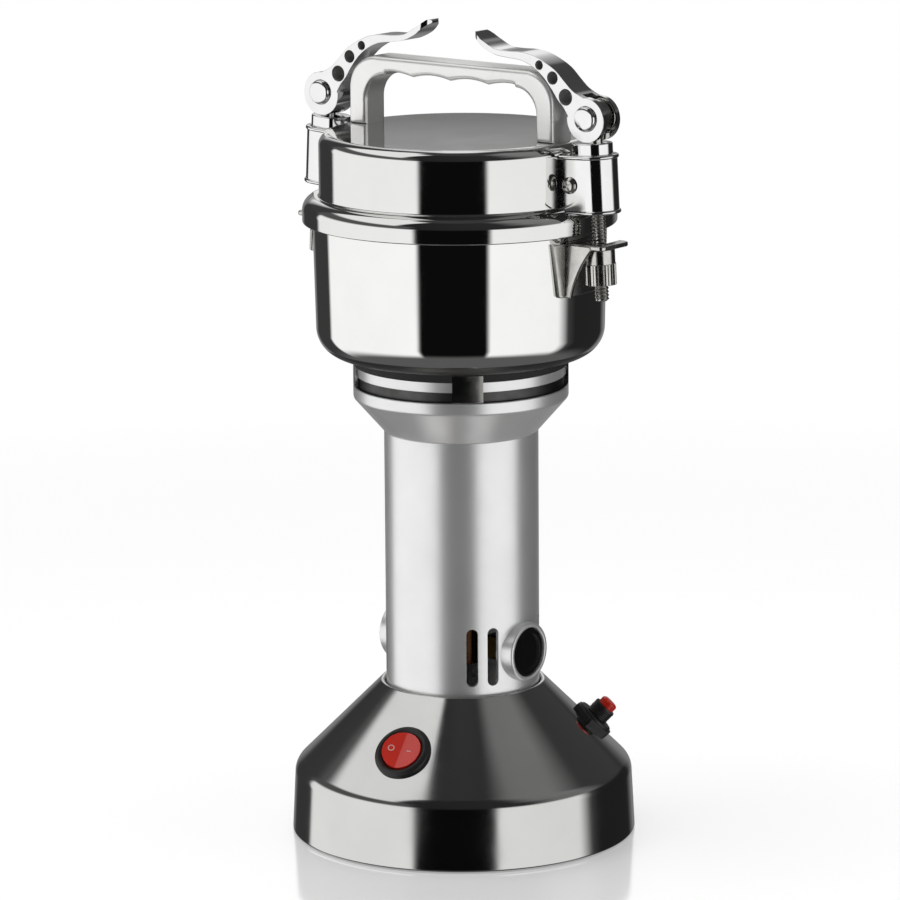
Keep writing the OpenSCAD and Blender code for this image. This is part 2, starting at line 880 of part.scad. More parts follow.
// Section of the bowl's outer face, or of its inside when it is drawn in by the sheet
module bowl_section(shrink, top) {
    corner = bowl_corner - shrink;
    mid_z = bowl_z + bowl_corner;
    mid = [bowl_wall(mid_z) - bowl_corner / cos(bowl_lean), mid_z];
    side = [cos(bowl_lean), -sin(bowl_lean)];
    union() {
        polygon([
            [0, bowl_z + shrink], [mid[0], bowl_z + shrink], mid + corner * side,
            [bowl_wall(top) - shrink / cos(bowl_lean), top], [0, top]]);
        intersection() {
            translate(mid) circle(r = corner);
            translate(mid) polygon([[0, 0], [0, -2 * corner], [2 * corner, -2 * corner], 2 * corner * side]);
        }
    }
}

module bowl() {
    color("silver")
        difference() {
            union() {
                rotate_extrude()
                    difference() {
                        bowl_section(0, rim_z - bead_r);
                        bowl_section(sheet_t, rim_z);
                    }
                rotate_extrude() translate([rim_r - sheet_t + bead_r, rim_z - bead_r]) circle(r = bead_r);
            }
            rod_between(seal_r + seat_fit, bowl_z - 1, bowl_floor + 1);
            around(bolt_turns, bowl_screw_ring_r) rod_between(bowl_screw_r + screw_fit, 0, cut * 5);
        }
}

module bowl_screws() {
    color("silver")
        around(bolt_turns, bowl_screw_ring_r)
            union() {
                rod_between(bowl_screw_head_r, bowl_floor, bowl_floor + bowl_screw_head_h);
                rod_between(bowl_screw_r, collar_top - web_t, bowl_floor + eps);
            }
}

module shaft_seal() {
    color("white")
        difference() {
            union() {
                rod_between(seal_r, collar_top, seal_top);
                rod_between(seal_r + 1.5, bowl_floor, seal_top);
            }
            rod_between(shaft_r + run_fit, collar_top - 1, seal_top + 1);
        }
}

// One curved blade leaf from the hub to its tip, swept back as it goes out
module blade_leaf(reach, root_w) {
    lead = smooth([
        [1, root_w / 2], [reach * 0.4, root_w * 0.62], [reach * 0.8, root_w * 0.2],
        [reach, -root_w * 0.45]], 8);
    trail = smooth([
        [1, -root_w / 2], [reach * 0.4, -root_w * 0.3], [reach * 0.75, -root_w * 0.45],
        [reach * 0.96, -root_w]], 8);
    polygon(concat(lead, reversed(trail)));
}

module blade(reach, root_w, low) {
    difference() {
        union() {
            rod_between(blade_hub_r, low, low + blade_t);
            for (side = [0, 180])
                rotate([0, 0, side])
                    translate([0, 0, low]) linear_extrude(blade_t) blade_leaf(reach, root_w);
        }
        rod_between(shaft_r + seat_fit, low - 1, low + blade_t + 1);
    }
}

module lower_blade() {
    color("silver") blade(lower_blade_r, blade_root_w, lower_blade_z);
}

module upper_blade() {
    color("silver") rotate([0, 0, 90]) blade(upper_blade_r, blade_root_w * 0.87, upper_blade_z);
}

module blade_spacers() {
    color("gainsboro")
        union() {
            ring(blade_hub_r - 0.5, shaft_r + seat_fit, seal_top + move_gap, lower_blade_z);
            ring(blade_hub_r - 0.5, shaft_r + seat_fit, lower_blade_z + blade_t, upper_blade_z);
        }
}

module blade_nut() {
    color("gainsboro")
        difference() {
            translate([0, 0, upper_blade_z + blade_t])
                cylinder(r = 1.85 * shaft_r, h = blade_nut_h, $fn = 6);
            rod_between(shaft_r + seat_fit, upper_blade_z, shaft_top + 1);
        }
}

// Section of the lid's outer face, or of its inside when it is drawn in by the sheet
module lid_section(shrink) {
    r = lid_r - shrink;
    top = lid_top - shrink;
    round_r = lid_round - shrink;
    edge = flange_r - shrink;
    edge_round = flange_round - shrink;
    edge_top = lid_z + flange_h;
    union() {
        translate([0, lid_z]) square([edge, flange_h]);
        translate([0, edge_top - eps]) square([edge - edge_round, edge_round + eps]);
        intersection() {
            translate([edge - edge_round, edge_top]) circle(r = edge_round);
            translate([0, edge_top - eps]) square([edge + 1, edge_round + 1]);
        }
        translate([0, lid_z]) square([r, top - round_r - lid_z]);
        translate([0, top - round_r - eps]) square([r - round_r, round_r + eps]);
        intersection() {
            translate([r - round_r, top - round_r]) circle(r = round_r);
            translate([0, top - round_r - eps]) square([r + 1, round_r + 1]);
        }
    }
}

// The space inside the lid's outer face, grown by a small gap
module lid_space(extra) {
    rotate_extrude() lid_section(-extra);
}

module lid_shell() {
    color("silver")
        difference() {
            rotate_extrude()
                difference() {
                    lid_section(0);
                    lid_section(sheet_t);
                    translate([0, lid_z - 1]) square([flange_r - sheet_t, 2]);
                }
            both_sides()
                translate([handle_half - leg_t / 2, 0, 0])
                    rod_between(handle_screw_r + screw_fit, lid_z, lid_top + 1);
        }
}

module lid_seal() {
    seal_in = lid_r - 0.2;
    seal_out = flange_r - flange_round + 2.4;
    seal_ceiling = lid_z + flange_h + flange_round - sheet_t - 1;
    color("whitesmoke") ring(seal_out, seal_in, rim_z + move_gap, seal_ceiling);
}

module handle_outline() {
    inner_top = handle_top - bar_t;
    difference() {
        union() {
            translate([-handle_half, lid_top]) square([2 * handle_half, handle_h - handle_corner]);
            translate([-handle_half + handle_corner, lid_top])
                square([2 * (handle_half - handle_corner), handle_h]);
            for (side = [-1, 1])
                intersection() {
                    translate([side * (handle_half - handle_corner), handle_top - handle_corner])
                        circle(r = handle_corner);
                    translate([-handle_half, lid_top]) square([2 * handle_half, handle_h]);
                }
        }
        translate([-leg_in, lid_top - 1]) square([2 * leg_in, inner_top - handle_inner - lid_top + 1]);
        translate([-leg_in + handle_inner, lid_top - 1])
            square([2 * (leg_in - handle_inner), inner_top - lid_top + 1]);
        for (side = [-1, 1])
            translate([side * (leg_in - handle_inner), inner_top - handle_inner]) circle(r = handle_inner);
        for (finger = [-1.5 : 1 : 1.5])
            translate([finger * finger_pitch, inner_top + finger_dip - finger_r])
                intersection() {
                    circle(r = finger_r);
                    translate([-finger_pitch / 2, 0]) square([finger_pitch, finger_r + 1]);
                }
    }
}

module handle() {
    color("lightgray")
        difference() {
            translate([0, handle_w / 2, 0]) rotate([90, 0, 0]) linear_extrude(handle_w) handle_outline();
            both_sides()
                translate([handle_half - leg_t / 2, 0, 0])
                    rod_between(handle_screw_r + seat_fit, lid_top - 1, lid_top + handle_screw_len + 1);
        }
}

module handle_screws() {
    under = lid_top - sheet_t;
    color("silver")
        both_sides()
            translate([handle_half - leg_t / 2, 0, 0])
                union() {
                    rod_between(handle_screw_r, under - eps, lid_top + handle_screw_len);
                    rod_between(handle_screw_head_r, under - handle_screw_head_h, under);
                }
}

// Leans a piece about the lever pivot, its lower end outwards
module lean() {
    translate([clamp_r, 0, pivot_z])
        rotate([0, -clamp_lean, 0]) translate([-clamp_r, 0, -pivot_z]) children();
}

// Outline of a guide seen from above: a round nose on the rod axis with flat sides back to the lid
module guide_plan(r) {
    union() {
        translate([clamp_r, 0]) circle(r = r);
        translate([lid_r - 4, -r]) square([clamp_r - lid_r + 4, 2 * r]);
    }
}

// Outline of the guide's neck seen from above, round at both ends
module neck_plan() {
    union() {
        for (back = [0, neck_len])
            translate([clamp_r - back, 0]) circle(r = guide_r);
        translate([clamp_r - neck_len, -guide_r]) square([neck_len, 2 * guide_r]);
    }
}

module guide_block() {
    difference() {
        lean()
            union() {
                translate([0, 0, cover_low]) linear_extrude(cover_h) guide_plan(guide_r);
                translate([0, 0, cover_top - eps]) linear_extrude(guide_proud + eps) neck_plan();
            }
        lid_space(seat_fit);
        lean() translate([clamp_r, 0, 0]) rod_between(rod_r + run_fit, cover_low - 1, guide_top + 1);
        for (side = [-1, 1])
            lean() cover_screw_bore(side, cover_screw_r + seat_fit);
    }
}

module guide_right() {
    color("silver") guide_block();
}

module guide_left() {
    color("silver") rotate([0, 0, 180]) guide_block();
}

module cover_screw_bore(side, r) {
    translate([cover_screw_x, 0, cover_screw_z])
        rotate([-90 * side, 0, 0]) translate([0, 0, guide_r - 4.5]) cylinder(r = r, h = 12);
}

module guide_cover() {
    difference() {
        lean()
            union() {
                translate([0, 0, cover_low]) linear_extrude(cover_h) guide_plan(cover_r);
                translate([0, 0, cover_low]) linear_extrude(lip_h) guide_plan(cover_r + lip_out);
                translate([0, 0, cover_top - lip_h]) linear_extrude(lip_h) guide_plan(cover_r + lip_out);
            }
        lean() translate([0, 0, cover_low - 1]) linear_extrude(cover_h + 2) guide_plan(cover_r - cover_t);
        lid_space(seat_fit);
        for (side = [-1, 1])
            lean() cover_screw_bore(side, cover_screw_r + screw_fit);
    }
}

module cover_right() {
    color("gainsboro") guide_cover();
}

module cover_left() {
    color("gainsboro") rotate([0, 0, 180]) guide_cover();
}

module cover_screws() {
    color("silver")
        both_sides()
            for (side = [-1, 1])
                lean()
                    translate([cover_screw_x, 0, cover_screw_z])
                        rotate([-90 * side, 0, 0])
                            union() {
                                rod_between(cover_screw_r, guide_r - 4, cover_r + eps);
                                rod_between(cover_screw_head_r, cover_r, cover_r + 2);
                            }
}

// A cylinder across the clamp, along Y through the pivot
module across(r, width) {
    translate([clamp_r, width / 2, pivot_z]) rotate([90, 0, 0]) cylinder(r = r, h = width);
}

module clamp_rod() {
    difference() {
        union() {
            across(eye_r, eye_t);
            lean() translate([clamp_r, 0, 0]) rod_between(rod_r, rod_low, pivot_z - eye_r + 2);
        }
        across(pin_r + seat_fit, cut);
    }
}

module rod_right() {
    color("silver") clamp_rod();
}

module rod_left() {
    color("silver") rotate([0, 0, 180]) clamp_rod();
}

module clamp_pin() {
    across(pin_r, lever_w + 2 * pin_proud);
}

module pin_right() {
    color("white") clamp_pin();
}

module pin_left() {
    color("white") rotate([0, 0, 180]) clamp_pin();
}

// A point on an arc about the handle's corner, from the side of the pivot upwards
function about_corner(angle, out) =
    [corner_u, corner_w] + (handle_corner + lever_gap + out) * [-cos(angle), sin(angle)];

// Holes in the lever: angle about the handle's corner, distance out and radius
lever_holes = [[17.5, 5.94, 3.3], [42, 4.06, 2.7], [64.1, 3.85, 2.1]];

// Lever outline: how far towards the axis, and how far above the pivot
module lever_arm() {
    over = handle_top - pivot_z + lever_gap;
    under = smooth([
        [cam_r - 0.2, 0.4], [cam_r + 2.3, 4], about_corner(17, 2), about_corner(32.5, 0.9),
        about_corner(53, 0.9), about_corner(71, 1.6), about_corner(89, 2.9),
        [lever_len - 19.1, over + 3.6], [lever_len - 13, over + 4.4], [lever_len - 6.9, over + 6.8],
        [lever_len - 3.5, over + 9.4], [lever_len - 0.7, over + 11.3]], 4);
    upper = smooth([
        [1, cam_r - cam_drop - 0.2], [6.6, cam_r + 1.8], about_corner(32.5, 8.4), about_corner(45.6, 7.5),
        about_corner(59.2, 6.6), about_corner(74.9, 6.4), about_corner(89.3, 6.5),
        [lever_len - 19, over + 6.4], [lever_len - 12.9, over + 6.9], [lever_len - 7.8, over + 9.2],
        [lever_len - 4.6, over + 10.9], [lever_len - 1.7, over + 12.9]], 4);
    tip = [lever_len - 1.2, over + 12.1];
    union() {
        translate([cam_in, -cam_drop]) circle(r = cam_r);
        polygon(concat([[0, 0]], under, reversed(upper)));
        translate(tip) circle(r = 0.95);
    }
}

// Outline of the lever from above, with a round end
module lever_plan() {
    union() {
        translate([clamp_r - lever_len + lever_w / 2, -lever_w / 2])
            square([lever_len + cam_r, lever_w]);
        translate([clamp_r - lever_len + lever_w / 2, 0]) circle(r = lever_w / 2);
    }
}

module lever() {
    difference() {
        intersection() {
            translate([clamp_r, -lever_w / 2, pivot_z])
                rotate([90, 0, 180]) linear_extrude(lever_w) lever_arm();
            linear_extrude(cut * 8) lever_plan();
        }
        across(pin_r + run_fit, cut);
        for (hole = lever_holes)
            let (place = about_corner(hole[0], hole[1]))
                translate([clamp_r - place[0], cut / 2, pivot_z + place[1]])
                    rotate([90, 0, 0]) cylinder(r = hole[2], h = cut);
        across(eye_r + 2 * move_gap, prong_gap);
        translate([clamp_r - rod_r - 2 * move_gap, -prong_gap / 2, pivot_z - cut / 2])
            cube([cut, prong_gap, cut]);
    }
}

module lever_right() {
    color("white") lever();
}

module lever_left() {
    color("white")
        rotate([0, 0, 180])
            translate([clamp_r, 0, pivot_z])
                rotate([0, left_open, 0]) translate([-clamp_r, 0, -pivot_z]) lever();
}

module knurled_nut() {
    lean()
        translate([clamp_r, 0, 0])
            difference() {
                union() {
                    rod_between(nut_r - 0.3, nut_low + nut_h - eps, nut_top);
                    rod_between(nut_r, nut_low, nut_low + nut_h);
                }
                rod_between(rod_r + run_fit, nut_low - 1, nut_top + 1);
            }
}

module nut_right() {
    color("silver") knurled_nut();
}

module nut_left() {
    color("silver") rotate([0, 0, 180]) knurled_nut();
}

// The space inside the bowl's wall from the bracket's foot up, grown by a distance
module wall_space(extra, low, high) {
    rotate_extrude()
        polygon([[0, low], [bowl_wall(low) + extra, low], [bowl_wall(high) + extra, high], [0, high]]);
}

// Slotted plate, tapering back plate and one gusset, bent from one sheet
module bowl_bracket() {
    wall = bowl_wall(plate_top);
    outer = plate_r + bracket_out;
    foot = plate_top - back_h;
    foot_half = back_half - back_h * tan(back_taper);
    difference() {
        union() {
            intersection() {
                rod_between(outer + 4, plate_low, plate_top);
                translate([0, -bracket_half, 0]) cube([outer, 2 * bracket_half, cut * 6]);
            }
            intersection() {
                wall_space(seat_fit + bracket_t, foot, plate_top);
                rotate([90, 0, 90])
                    linear_extrude(cut * 2)
                        polygon([
                            [-foot_half, foot], [foot_half, foot], [back_half, plate_top],
                            [-back_half, plate_top]]);
            }
            translate([0, gusset_y + bracket_t, 0])
                rotate([90, 0, 0])
                    linear_extrude(bracket_t)
                        difference() {
                            translate([wall - 4, foot]) square([gusset_w + 4, plate_top - foot - eps]);
                            translate([wall + gusset_w + 37.5, foot - 10.9]) circle(r = 49);
                        }
        }
        wall_space(seat_fit, foot - 1, plate_top + 1);
        intersection() {
            ring(plate_r + slot_half, plate_r - slot_half, plate_low - 1, plate_top + 1);
            cube([cut * 2, cut * 2, cut * 6]);
        }
        translate([plate_r, 0, 0]) rod_between(slot_half, plate_low - 1, plate_top + 1);
    }
}

module bracket_right() {
    color("gainsboro") bowl_bracket();
}

module bracket_left() {
    color("gainsboro") rotate([0, 0, 180]) bowl_bracket();
}

base_shell();
base_plate();
rubber_feet();
foot_screws();
foot_nuts();
rocker_bezel();
rocker();
breaker_body();
breaker_nut();
breaker_button();
cord_gland();
gland_nut();
motor_tube();
tube_ring();
lower_bracket();
lower_bearing();
brush_holders();
carbon_brushes();
brush_springs();
brush_caps();
stator_core();
stator_coils();
motor_shaft();
commutator();
armature_core();
armature_windings();
cooling_fan();
upper_bearing();
collar();
bowl_seat();
bowl_gasket();
bowl();
bowl_screws();
shaft_seal();
blade_spacers();
lower_blade();
upper_blade();
blade_nut();
lid_shell();
lid_seal();
handle();
handle_screws();
guide_right();
guide_left();
cover_right();
cover_left();
cover_screws();
rod_right();
rod_left();
pin_right();
pin_left();
lever_right();
lever_left();
nut_right();
nut_left();
bracket_right();
bracket_left();
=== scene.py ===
"""Electric coffee grinder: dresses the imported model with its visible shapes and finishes.

Each sub-assembly is a class. Its meshes are drawn in millimetres, in the row frame, and become
pieces in metres that ride on the model's bodies.
"""
import logging
import math
from dataclasses import dataclass, field
from enum import Enum
from typing import Any, Dict, Iterable, List, Optional, Sequence, Tuple, Union

import bmesh
import bpy
from mathutils import Matrix, Vector


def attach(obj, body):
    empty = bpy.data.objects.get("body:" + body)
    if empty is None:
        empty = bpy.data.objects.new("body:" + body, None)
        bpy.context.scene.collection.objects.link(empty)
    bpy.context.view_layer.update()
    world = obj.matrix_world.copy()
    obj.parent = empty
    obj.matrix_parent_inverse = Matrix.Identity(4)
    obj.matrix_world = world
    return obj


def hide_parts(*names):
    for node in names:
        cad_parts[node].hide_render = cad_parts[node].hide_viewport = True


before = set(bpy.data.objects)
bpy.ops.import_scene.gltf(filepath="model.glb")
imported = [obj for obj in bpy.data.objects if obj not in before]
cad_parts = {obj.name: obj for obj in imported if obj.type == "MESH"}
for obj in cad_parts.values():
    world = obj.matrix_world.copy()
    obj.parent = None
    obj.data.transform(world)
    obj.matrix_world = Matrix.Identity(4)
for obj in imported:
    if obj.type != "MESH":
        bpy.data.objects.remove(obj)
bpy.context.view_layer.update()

LOG = logging.getLogger("grinder")
MM = 0.001
UM = 0.000001
WHITE = (1.0, 1.0, 1.0, 1.0)
# Colour sockets of a Mix node: both inputs and the output.
MIX_A, MIX_B, MIX_OUT = 6, 7, 2
# How far tool marks drift along a ring, in metres for each radian.
RING_DRIFT = 0.0004
Mesh = bmesh.types.BMesh
Tree = bpy.types.NodeTree
Socket = bpy.types.NodeSocket
Point = Tuple[float, float]
Corner = Tuple[float, float, float]


# Places and named options


def spin(angle: float, axis: str) -> Matrix:
    """A turn about an axis, in degrees."""
    return Matrix.Rotation(math.radians(angle), 4, axis)


def shift(x: float, y: float, z: float) -> Matrix:
    """A move along the three axes."""
    return Matrix.Translation((x, y, z))


def polar(radius: float, angle: float) -> Point:
    """The point at a radius and an angle in degrees."""
    return radius * math.cos(math.radians(angle)), radius * math.sin(math.radians(angle))


class Lay(Enum):
    """Which way the marks of a finish run on a piece."""

    AROUND = "around the motor axis"
    EVEN = "the same in all directions"


class Side(Enum):
    """The two clamps: the left one is the right one turned half round."""

    RIGHT = 0.0
    LEFT = 180.0

    @property
    def word(self) -> str:
        """The side's name as the bodies and nodes spell it."""
        return self.name.lower()

    @property
    def turn(self) -> Matrix:
        """The turn about the motor axis that brings the right clamp here."""
        return spin(self.value, "Z")


# Colour and shader nodes


def linear(code: str) -> Tuple[float, float, float, float]:
    """Turns an sRGB hex colour to linear light.

    Args:
        code: Six hex digits with a leading hash.

    Returns:
        Red, green, blue and alpha, in linear light.
    """
    parts = [int(code[i:i + 2], 16) / 255 for i in (1, 3, 5)]
    light = [c / 12.92 if c <= 0.04045 else ((c + 0.055) / 1.055) ** 2.4 for c in parts]
    return light[0], light[1], light[2], 1.0


def add_node(tree: Tree, kind: str, values: Optional[Dict[Any, Any]] = None,
             links: Optional[Dict[Any, Any]] = None, **settings: Any) -> bpy.types.Node:
    """Adds a shader node with its settings, socket values and links.

    Args:
        tree: The node tree.
        kind: The node's type, without the leading ShaderNode.
        values: Input sockets, by name or number, to the values set on them.
        links: Input sockets, by name or number, to the output sockets joined to them.
        settings: Attributes of the node.

    Returns:
        The new node.
    """
    made = tree.nodes.new("ShaderNode" + kind)
    for key, value in settings.items():
        setattr(made, key, value)
    for key, value in (values or {}).items():
        made.inputs[key].default_value = value
    for key, socket in (links or {}).items():
        tree.links.new(socket, made.inputs[key])
    return made


def ramp(tree: Tree, share: Socket, stops: Sequence[Point]) -> Socket:
    """Gives a grey for each share.

    Args:
        tree: The node tree.
        share: A value from 0 to 1.
        stops: Shares, each with its brightness.

    Returns:
        The colour socket.
    """
    made = add_node(tree, "ValToRGB", links={0: share})
    elements = made.color_ramp.elements
    while len(elements) < len(stops):
        elements.new(1.0)
    for element, (place, value) in zip(elements, stops):
        element.position = place
        element.color = (value, value, value, 1.0)
    return made.outputs["Color"]


def noise(tree: Tree, place: Socket, scale: float, detail: float, roughness: float = 0.5) -> Socket:
    """Draws cloudy noise.

    Args:
        tree: The node tree.
        place: The coordinates it is drawn in.
        scale: Clouds in one metre.
        detail: How many finer layers lie on it.
        roughness: How strong the finer layers are.

    Returns:
        The socket of its value.
    """
    values = {"Scale": scale, "Detail": detail, "Roughness": roughness}
    return add_node(tree, "TexNoise", values, {"Vector": place}).outputs["Fac"]


def empty_material(name: str) -> bpy.types.Material:
    """Makes a node material with nothing in it.

    Args:
        name: The material's name.

    Returns:
        The material.
    """
    made = bpy.data.materials.new(name)
    made.use_nodes = True
    made.node_tree.nodes.clear()
    return made


def mark_space(tree: Tree, lay: Lay) -> Socket:
    """Gives the coordinates in which a finish draws its marks, in metres.

    Args:
        tree: The node tree.
        lay: Which way the marks run.

    Returns:
        A vector socket. Around the axis it holds radius, height and a slow turn, which makes rings.
    """
    place = add_node(tree, "TexCoord").outputs["Object"]
    if lay is Lay.EVEN:
        return place
    flat = add_node(tree, "VectorMath", {1: (1.0, 1.0, 0.0)}, {0: place}, operation="MULTIPLY")
    radius = add_node(tree, "VectorMath", links={0: flat.outputs[0]}, operation="LENGTH")
    parts = add_node(tree, "SeparateXYZ", links={0: place}).outputs
    turn = add_node(tree, "Math", links={0: parts["Y"], 1: parts["X"]}, operation="ARCTAN2")
    slow = add_node(tree, "Math", {1: RING_DRIFT}, {0: turn.outputs[0]}, operation="MULTIPLY")
    links = {"X": radius.outputs["Value"], "Y": parts["Z"], "Z": slow.outputs[0]}
    return add_node(tree, "CombineXYZ", links=links).outputs[0]


@dataclass(frozen=True)
class Finish:
    """What every finish has: two tones in patches, a range of gloss and a fine relief.

    Attributes:
        name: The stuff and how its surface was made.
        light: The main tone.
        dark: The tone in patches.
        rough: Roughness where the surface is smoothest.
        rougher: Roughness where it is smudged, worn or dull.
        mark_mm: Spacing of the tool marks, or size of the grain.
        depth_um: Depth of the marks or the grain, in micrometres.
    """

    name: str
    light: str
    dark: str
    rough: float
    rougher: float
    mark_mm: float
    depth_um: float

    def material(self) -> bpy.types.Material:
        """Builds the material once and gives it back after that.

        Returns:
            The material.
        """
        if self.name in bpy.data.materials:
            return bpy.data.materials[self.name]
        made = empty_material(self.name)
        self.paint(made.node_tree)
        return made

    def paint(self, tree: Tree) -> None:
        """Fills the material's node tree; each kind of finish has its own way."""
        raise NotImplementedError

    def surface(self, tree: Tree, tone_by: Socket, gloss_by: Socket, relief_by: Socket, span: Point,
                values: Dict[str, float]) -> None:
        """Joins tone, gloss and relief to the shader.

        Args:
            tree: The node tree.
            tone_by: Noise that mixes the two tones.
            gloss_by: Noise that sets the roughness.
            relief_by: Noise that raises the relief.
            span: Values of that noise between which the roughness changes.
            values: Constants of the shader.
        """
        tones = {MIX_A: linear(self.light), MIX_B: linear(self.dark)}
        tone = add_node(tree, "Mix", tones, {"Factor": tone_by}, data_type="RGBA")
        gloss = add_node(tree, "MapRange", {
            "From Min": span[0], "From Max": span[1], "To Min": self.rough, "To Max": self.rougher},
            {"Value": gloss_by})
        relief = {"Strength": 1.0, "Distance": self.depth_um * UM}
        bump = add_node(tree, "Bump", relief, {"Height": relief_by})
        shader = add_node(tree, "BsdfPrincipled", values, {
            "Base Color": tone.outputs[MIX_OUT], "Roughness": gloss.outputs["Result"],
            "Normal": bump.outputs["Normal"]})
        add_node(tree, "OutputMaterial", links={"Surface": shader.outputs["BSDF"]})


@dataclass(frozen=True)
class MetalFinish(Finish):
    """A bare, plated or lacquered metal with its tool marks, smudges and tone.

    Attributes:
        patch_mm: Size of the patches in tone and gloss.
        lay: Which way the marks run.
        metal: Share of bare metal; a lacquer with metal flakes has less than 1.
    """

    patch_mm: float = 25.0
    lay: Lay = Lay.EVEN
    metal: float = 1.0

    def paint(self, tree: Tree) -> None:
        """Draws tone and gloss in the same patches, and tool marks over them."""
        place = add_node(tree, "TexCoord").outputs["Object"]
        patches = noise(tree, place, 1000 / self.patch_mm, detail=4.0, roughness=0.6)
        marks = noise(tree, mark_space(tree, self.lay), 1000 / self.mark_mm, detail=3.0, roughness=0.65)
        self.surface(tree, patches, patches, marks, (0.35, 0.75), {"Metallic": self.metal})


@dataclass(frozen=True)
class MouldedFinish(Finish):
    """A moulded plastic, rubber or other dull body with a fine grain.

    Attributes:
        ior: Index of refraction.
    """

    ior: float = 1.5

    def paint(self, tree: Tree) -> None:
        """Draws tone in patches, and gloss and relief from the grain."""
        place = add_node(tree, "TexCoord").outputs["Object"]
        patches = noise(tree, place, scale=90.0, detail=3.0)
        grain = noise(tree, place, 1000 / self.mark_mm, detail=2.0)
        self.surface(tree, patches, grain, grain, (0.3, 0.7), {"IOR": self.ior})


# Deep-drawn stainless sheet, buffed to a mirror: sharp reflections with faint rings from the wheel.
POLISHED = MetalFinish(
    "Stainless_sheet_mirror_buffed", "#EFEFED", "#E4E4E2", 0.03, 0.075, 0.9, 0.3, 30.0, Lay.AROUND)
# The lid's sheet, buffed a little less: the same reflections, somewhat greyer.
BUFFED = MetalFinish("Stainless_sheet_buffed", "#E4E4E2", "#DADAD8", 0.04, 0.09, 0.9, 0.3, 30.0, Lay.AROUND)
# Painted shade on the bowl's underside: its downward faces are painted a soft dark grey for the shade under
# the bowl.
UNDERSIDE_SHADE = MetalFinish("Stainless_sheet_underside_painted_shade", "#7C7C7A", "#6A6A68", 0.34, 0.44, 0.8, 1.2, 20.0)
# Spun stainless sheet, polished on the lathe: mirror-like, with rings that can just be seen.
SPUN = MetalFinish(
    "Stainless_sheet_spun_polished", "#D4D4D2", "#C6C6C4", 0.085, 0.17, 1.2, 0.9, 35.0, Lay.AROUND)
# Aluminium tube with a silver satin lacquer: broad soft highlights and a very fine grain.
SATIN = MetalFinish(
    "Aluminium_tube_silver_lacquer", "#F6F7F6", "#ECEDEC", 0.29, 0.34, 0.5, 0.5, 18.0, metal=0.72)
# Die-cast handle, blasted and lacquered silver: a soft even sheen.
BLASTED = MetalFinish(
    "Zinc_casting_silver_lacquer", "#F8F8F6", "#EFEFED", 0.30, 0.38, 0.35, 0.6, 14.0, metal=0.75)
# Chrome plate on castings and bent sheet: bright, with the slight waves of the metal under it.
CHROME = MetalFinish("Chrome_plate_bright", "#EEEEEE", "#E2E2E1", 0.06, 0.13, 3.5, 3.0, 9.0)
# Painted shade for the collar's groove under the seat ring: the recess is painted a dull dark grey for the
# shade in it.
GROOVE_SHADE = MetalFinish("Aluminium_groove_painted_shade", "#626261", "#4A4A49", 0.36, 0.48, 0.6, 3.0, 8.0)
# Painted shade inside the lever's holes: their walls are painted a dull grey for the shade in them.
HOLE_SHADE = MetalFinish("Zinc_lever_holes_painted_shade", "#BCBCBA", "#9E9E9C", 0.38, 0.52, 0.8, 6.0, 6.0, metal=0.6)
# Zinc-plated steel of rods, nuts, brackets and screws: bright with a greyer bloom.
ZINC = MetalFinish("Steel_zinc_plated", "#D9D8D4", "#BEBDB9", 0.16, 0.26, 0.6, 1.5, 5.0)
# Ground steel of shaft, bearings and blades: fine grinding marks.
GROUND = MetalFinish("Steel_ground", "#CFCFD0", "#BBBBBD", 0.20, 0.32, 0.4, 1.5, 12.0)
# Stacked laminations: oiled and dark.
LAMINATED = MetalFinish("Silicon_steel_laminations", "#6E6E70", "#57575A", 0.42, 0.55, 0.5, 6.0, 8.0)
# Copper wire under dipping varnish: a deep brown with ridges of wire, painted darker as painted shade for the
# dim inside of the tube.
VARNISHED_WIRE_AND_SHADE = MetalFinish("Copper_wire_varnished_painted_shade", "#4A2E1C", "#352013", 0.30, 0.42, 0.7, 40.0, 6.0)
# Turned copper bars of the commutator, browned by the brushes: dark with a warm glint, painted darker still
# as painted shade for the dim inside of the tube.
BROWNED_COPPER_AND_SHADE = MetalFinish("Copper_bars_turned_painted_shade", "#5E3F2C", "#452C1D", 0.24, 0.36, 0.5, 3.0, 6.0)
# Drawn brass of the brush holders: a dull yellow.
BRASS = MetalFinish("Brass_drawn", "#9C814C", "#7F673B", 0.22, 0.34, 0.8, 1.5, 10.0)
# Moulded black nylon of switch bezel, breaker and gland: dull with a pebbled grain.
BLACK = MouldedFinish("Nylon_black_moulded", "#191918", "#222221", 0.36, 0.52, 0.45, 9.0, 1.53)
# Black phenolic of the brush caps: smooth and glossy.
PHENOLIC = MouldedFinish("Phenolic_black_pressed", "#0A0A0A", "#0F0F0F", 0.14, 0.22, 0.5, 2.0, 1.6)
# Red polycarbonate of rocker and reset button: glossy, a little deeper in patches.
RED = MouldedFinish("Polycarbonate_red_moulded", "#D92B18", "#C62212", 0.16, 0.26, 0.7, 2.0, 1.58)
# Pad-printed marks on the rocker: matt white, with some of the red under it.
PRINT = MouldedFinish("Pad_print_white", "#E9C9C2", "#E0BBB3", 0.40, 0.55, 0.3, 3.0)
# Black rubber of feet and gasket: matt, faintly dusty.
RUBBER = MouldedFinish("Rubber_black_moulded", "#1D1D1D", "#272726", 0.62, 0.78, 0.6, 12.0, 1.52)
# Pale silicone of the seals: soft sheen.
SILICONE = MouldedFinish("Silicone_pale_moulded", "#E3E2DC", "#D6D5CE", 0.45, 0.58, 0.8, 5.0, 1.43)
# Pressed carbon of the brushes: nearly black and dull.
GRAPHITE = MouldedFinish("Carbon_pressed", "#2B2B2D", "#232325", 0.45, 0.60, 0.5, 8.0, 1.8)
# Grey nylon of the cooling fan: even and dull.
GREY = MouldedFinish("Nylon_grey_moulded", "#6A6B6C", "#5E5F60", 0.45, 0.58, 0.5, 6.0, 1.53)


# Outlines and meshes, in millimetres until they become a piece


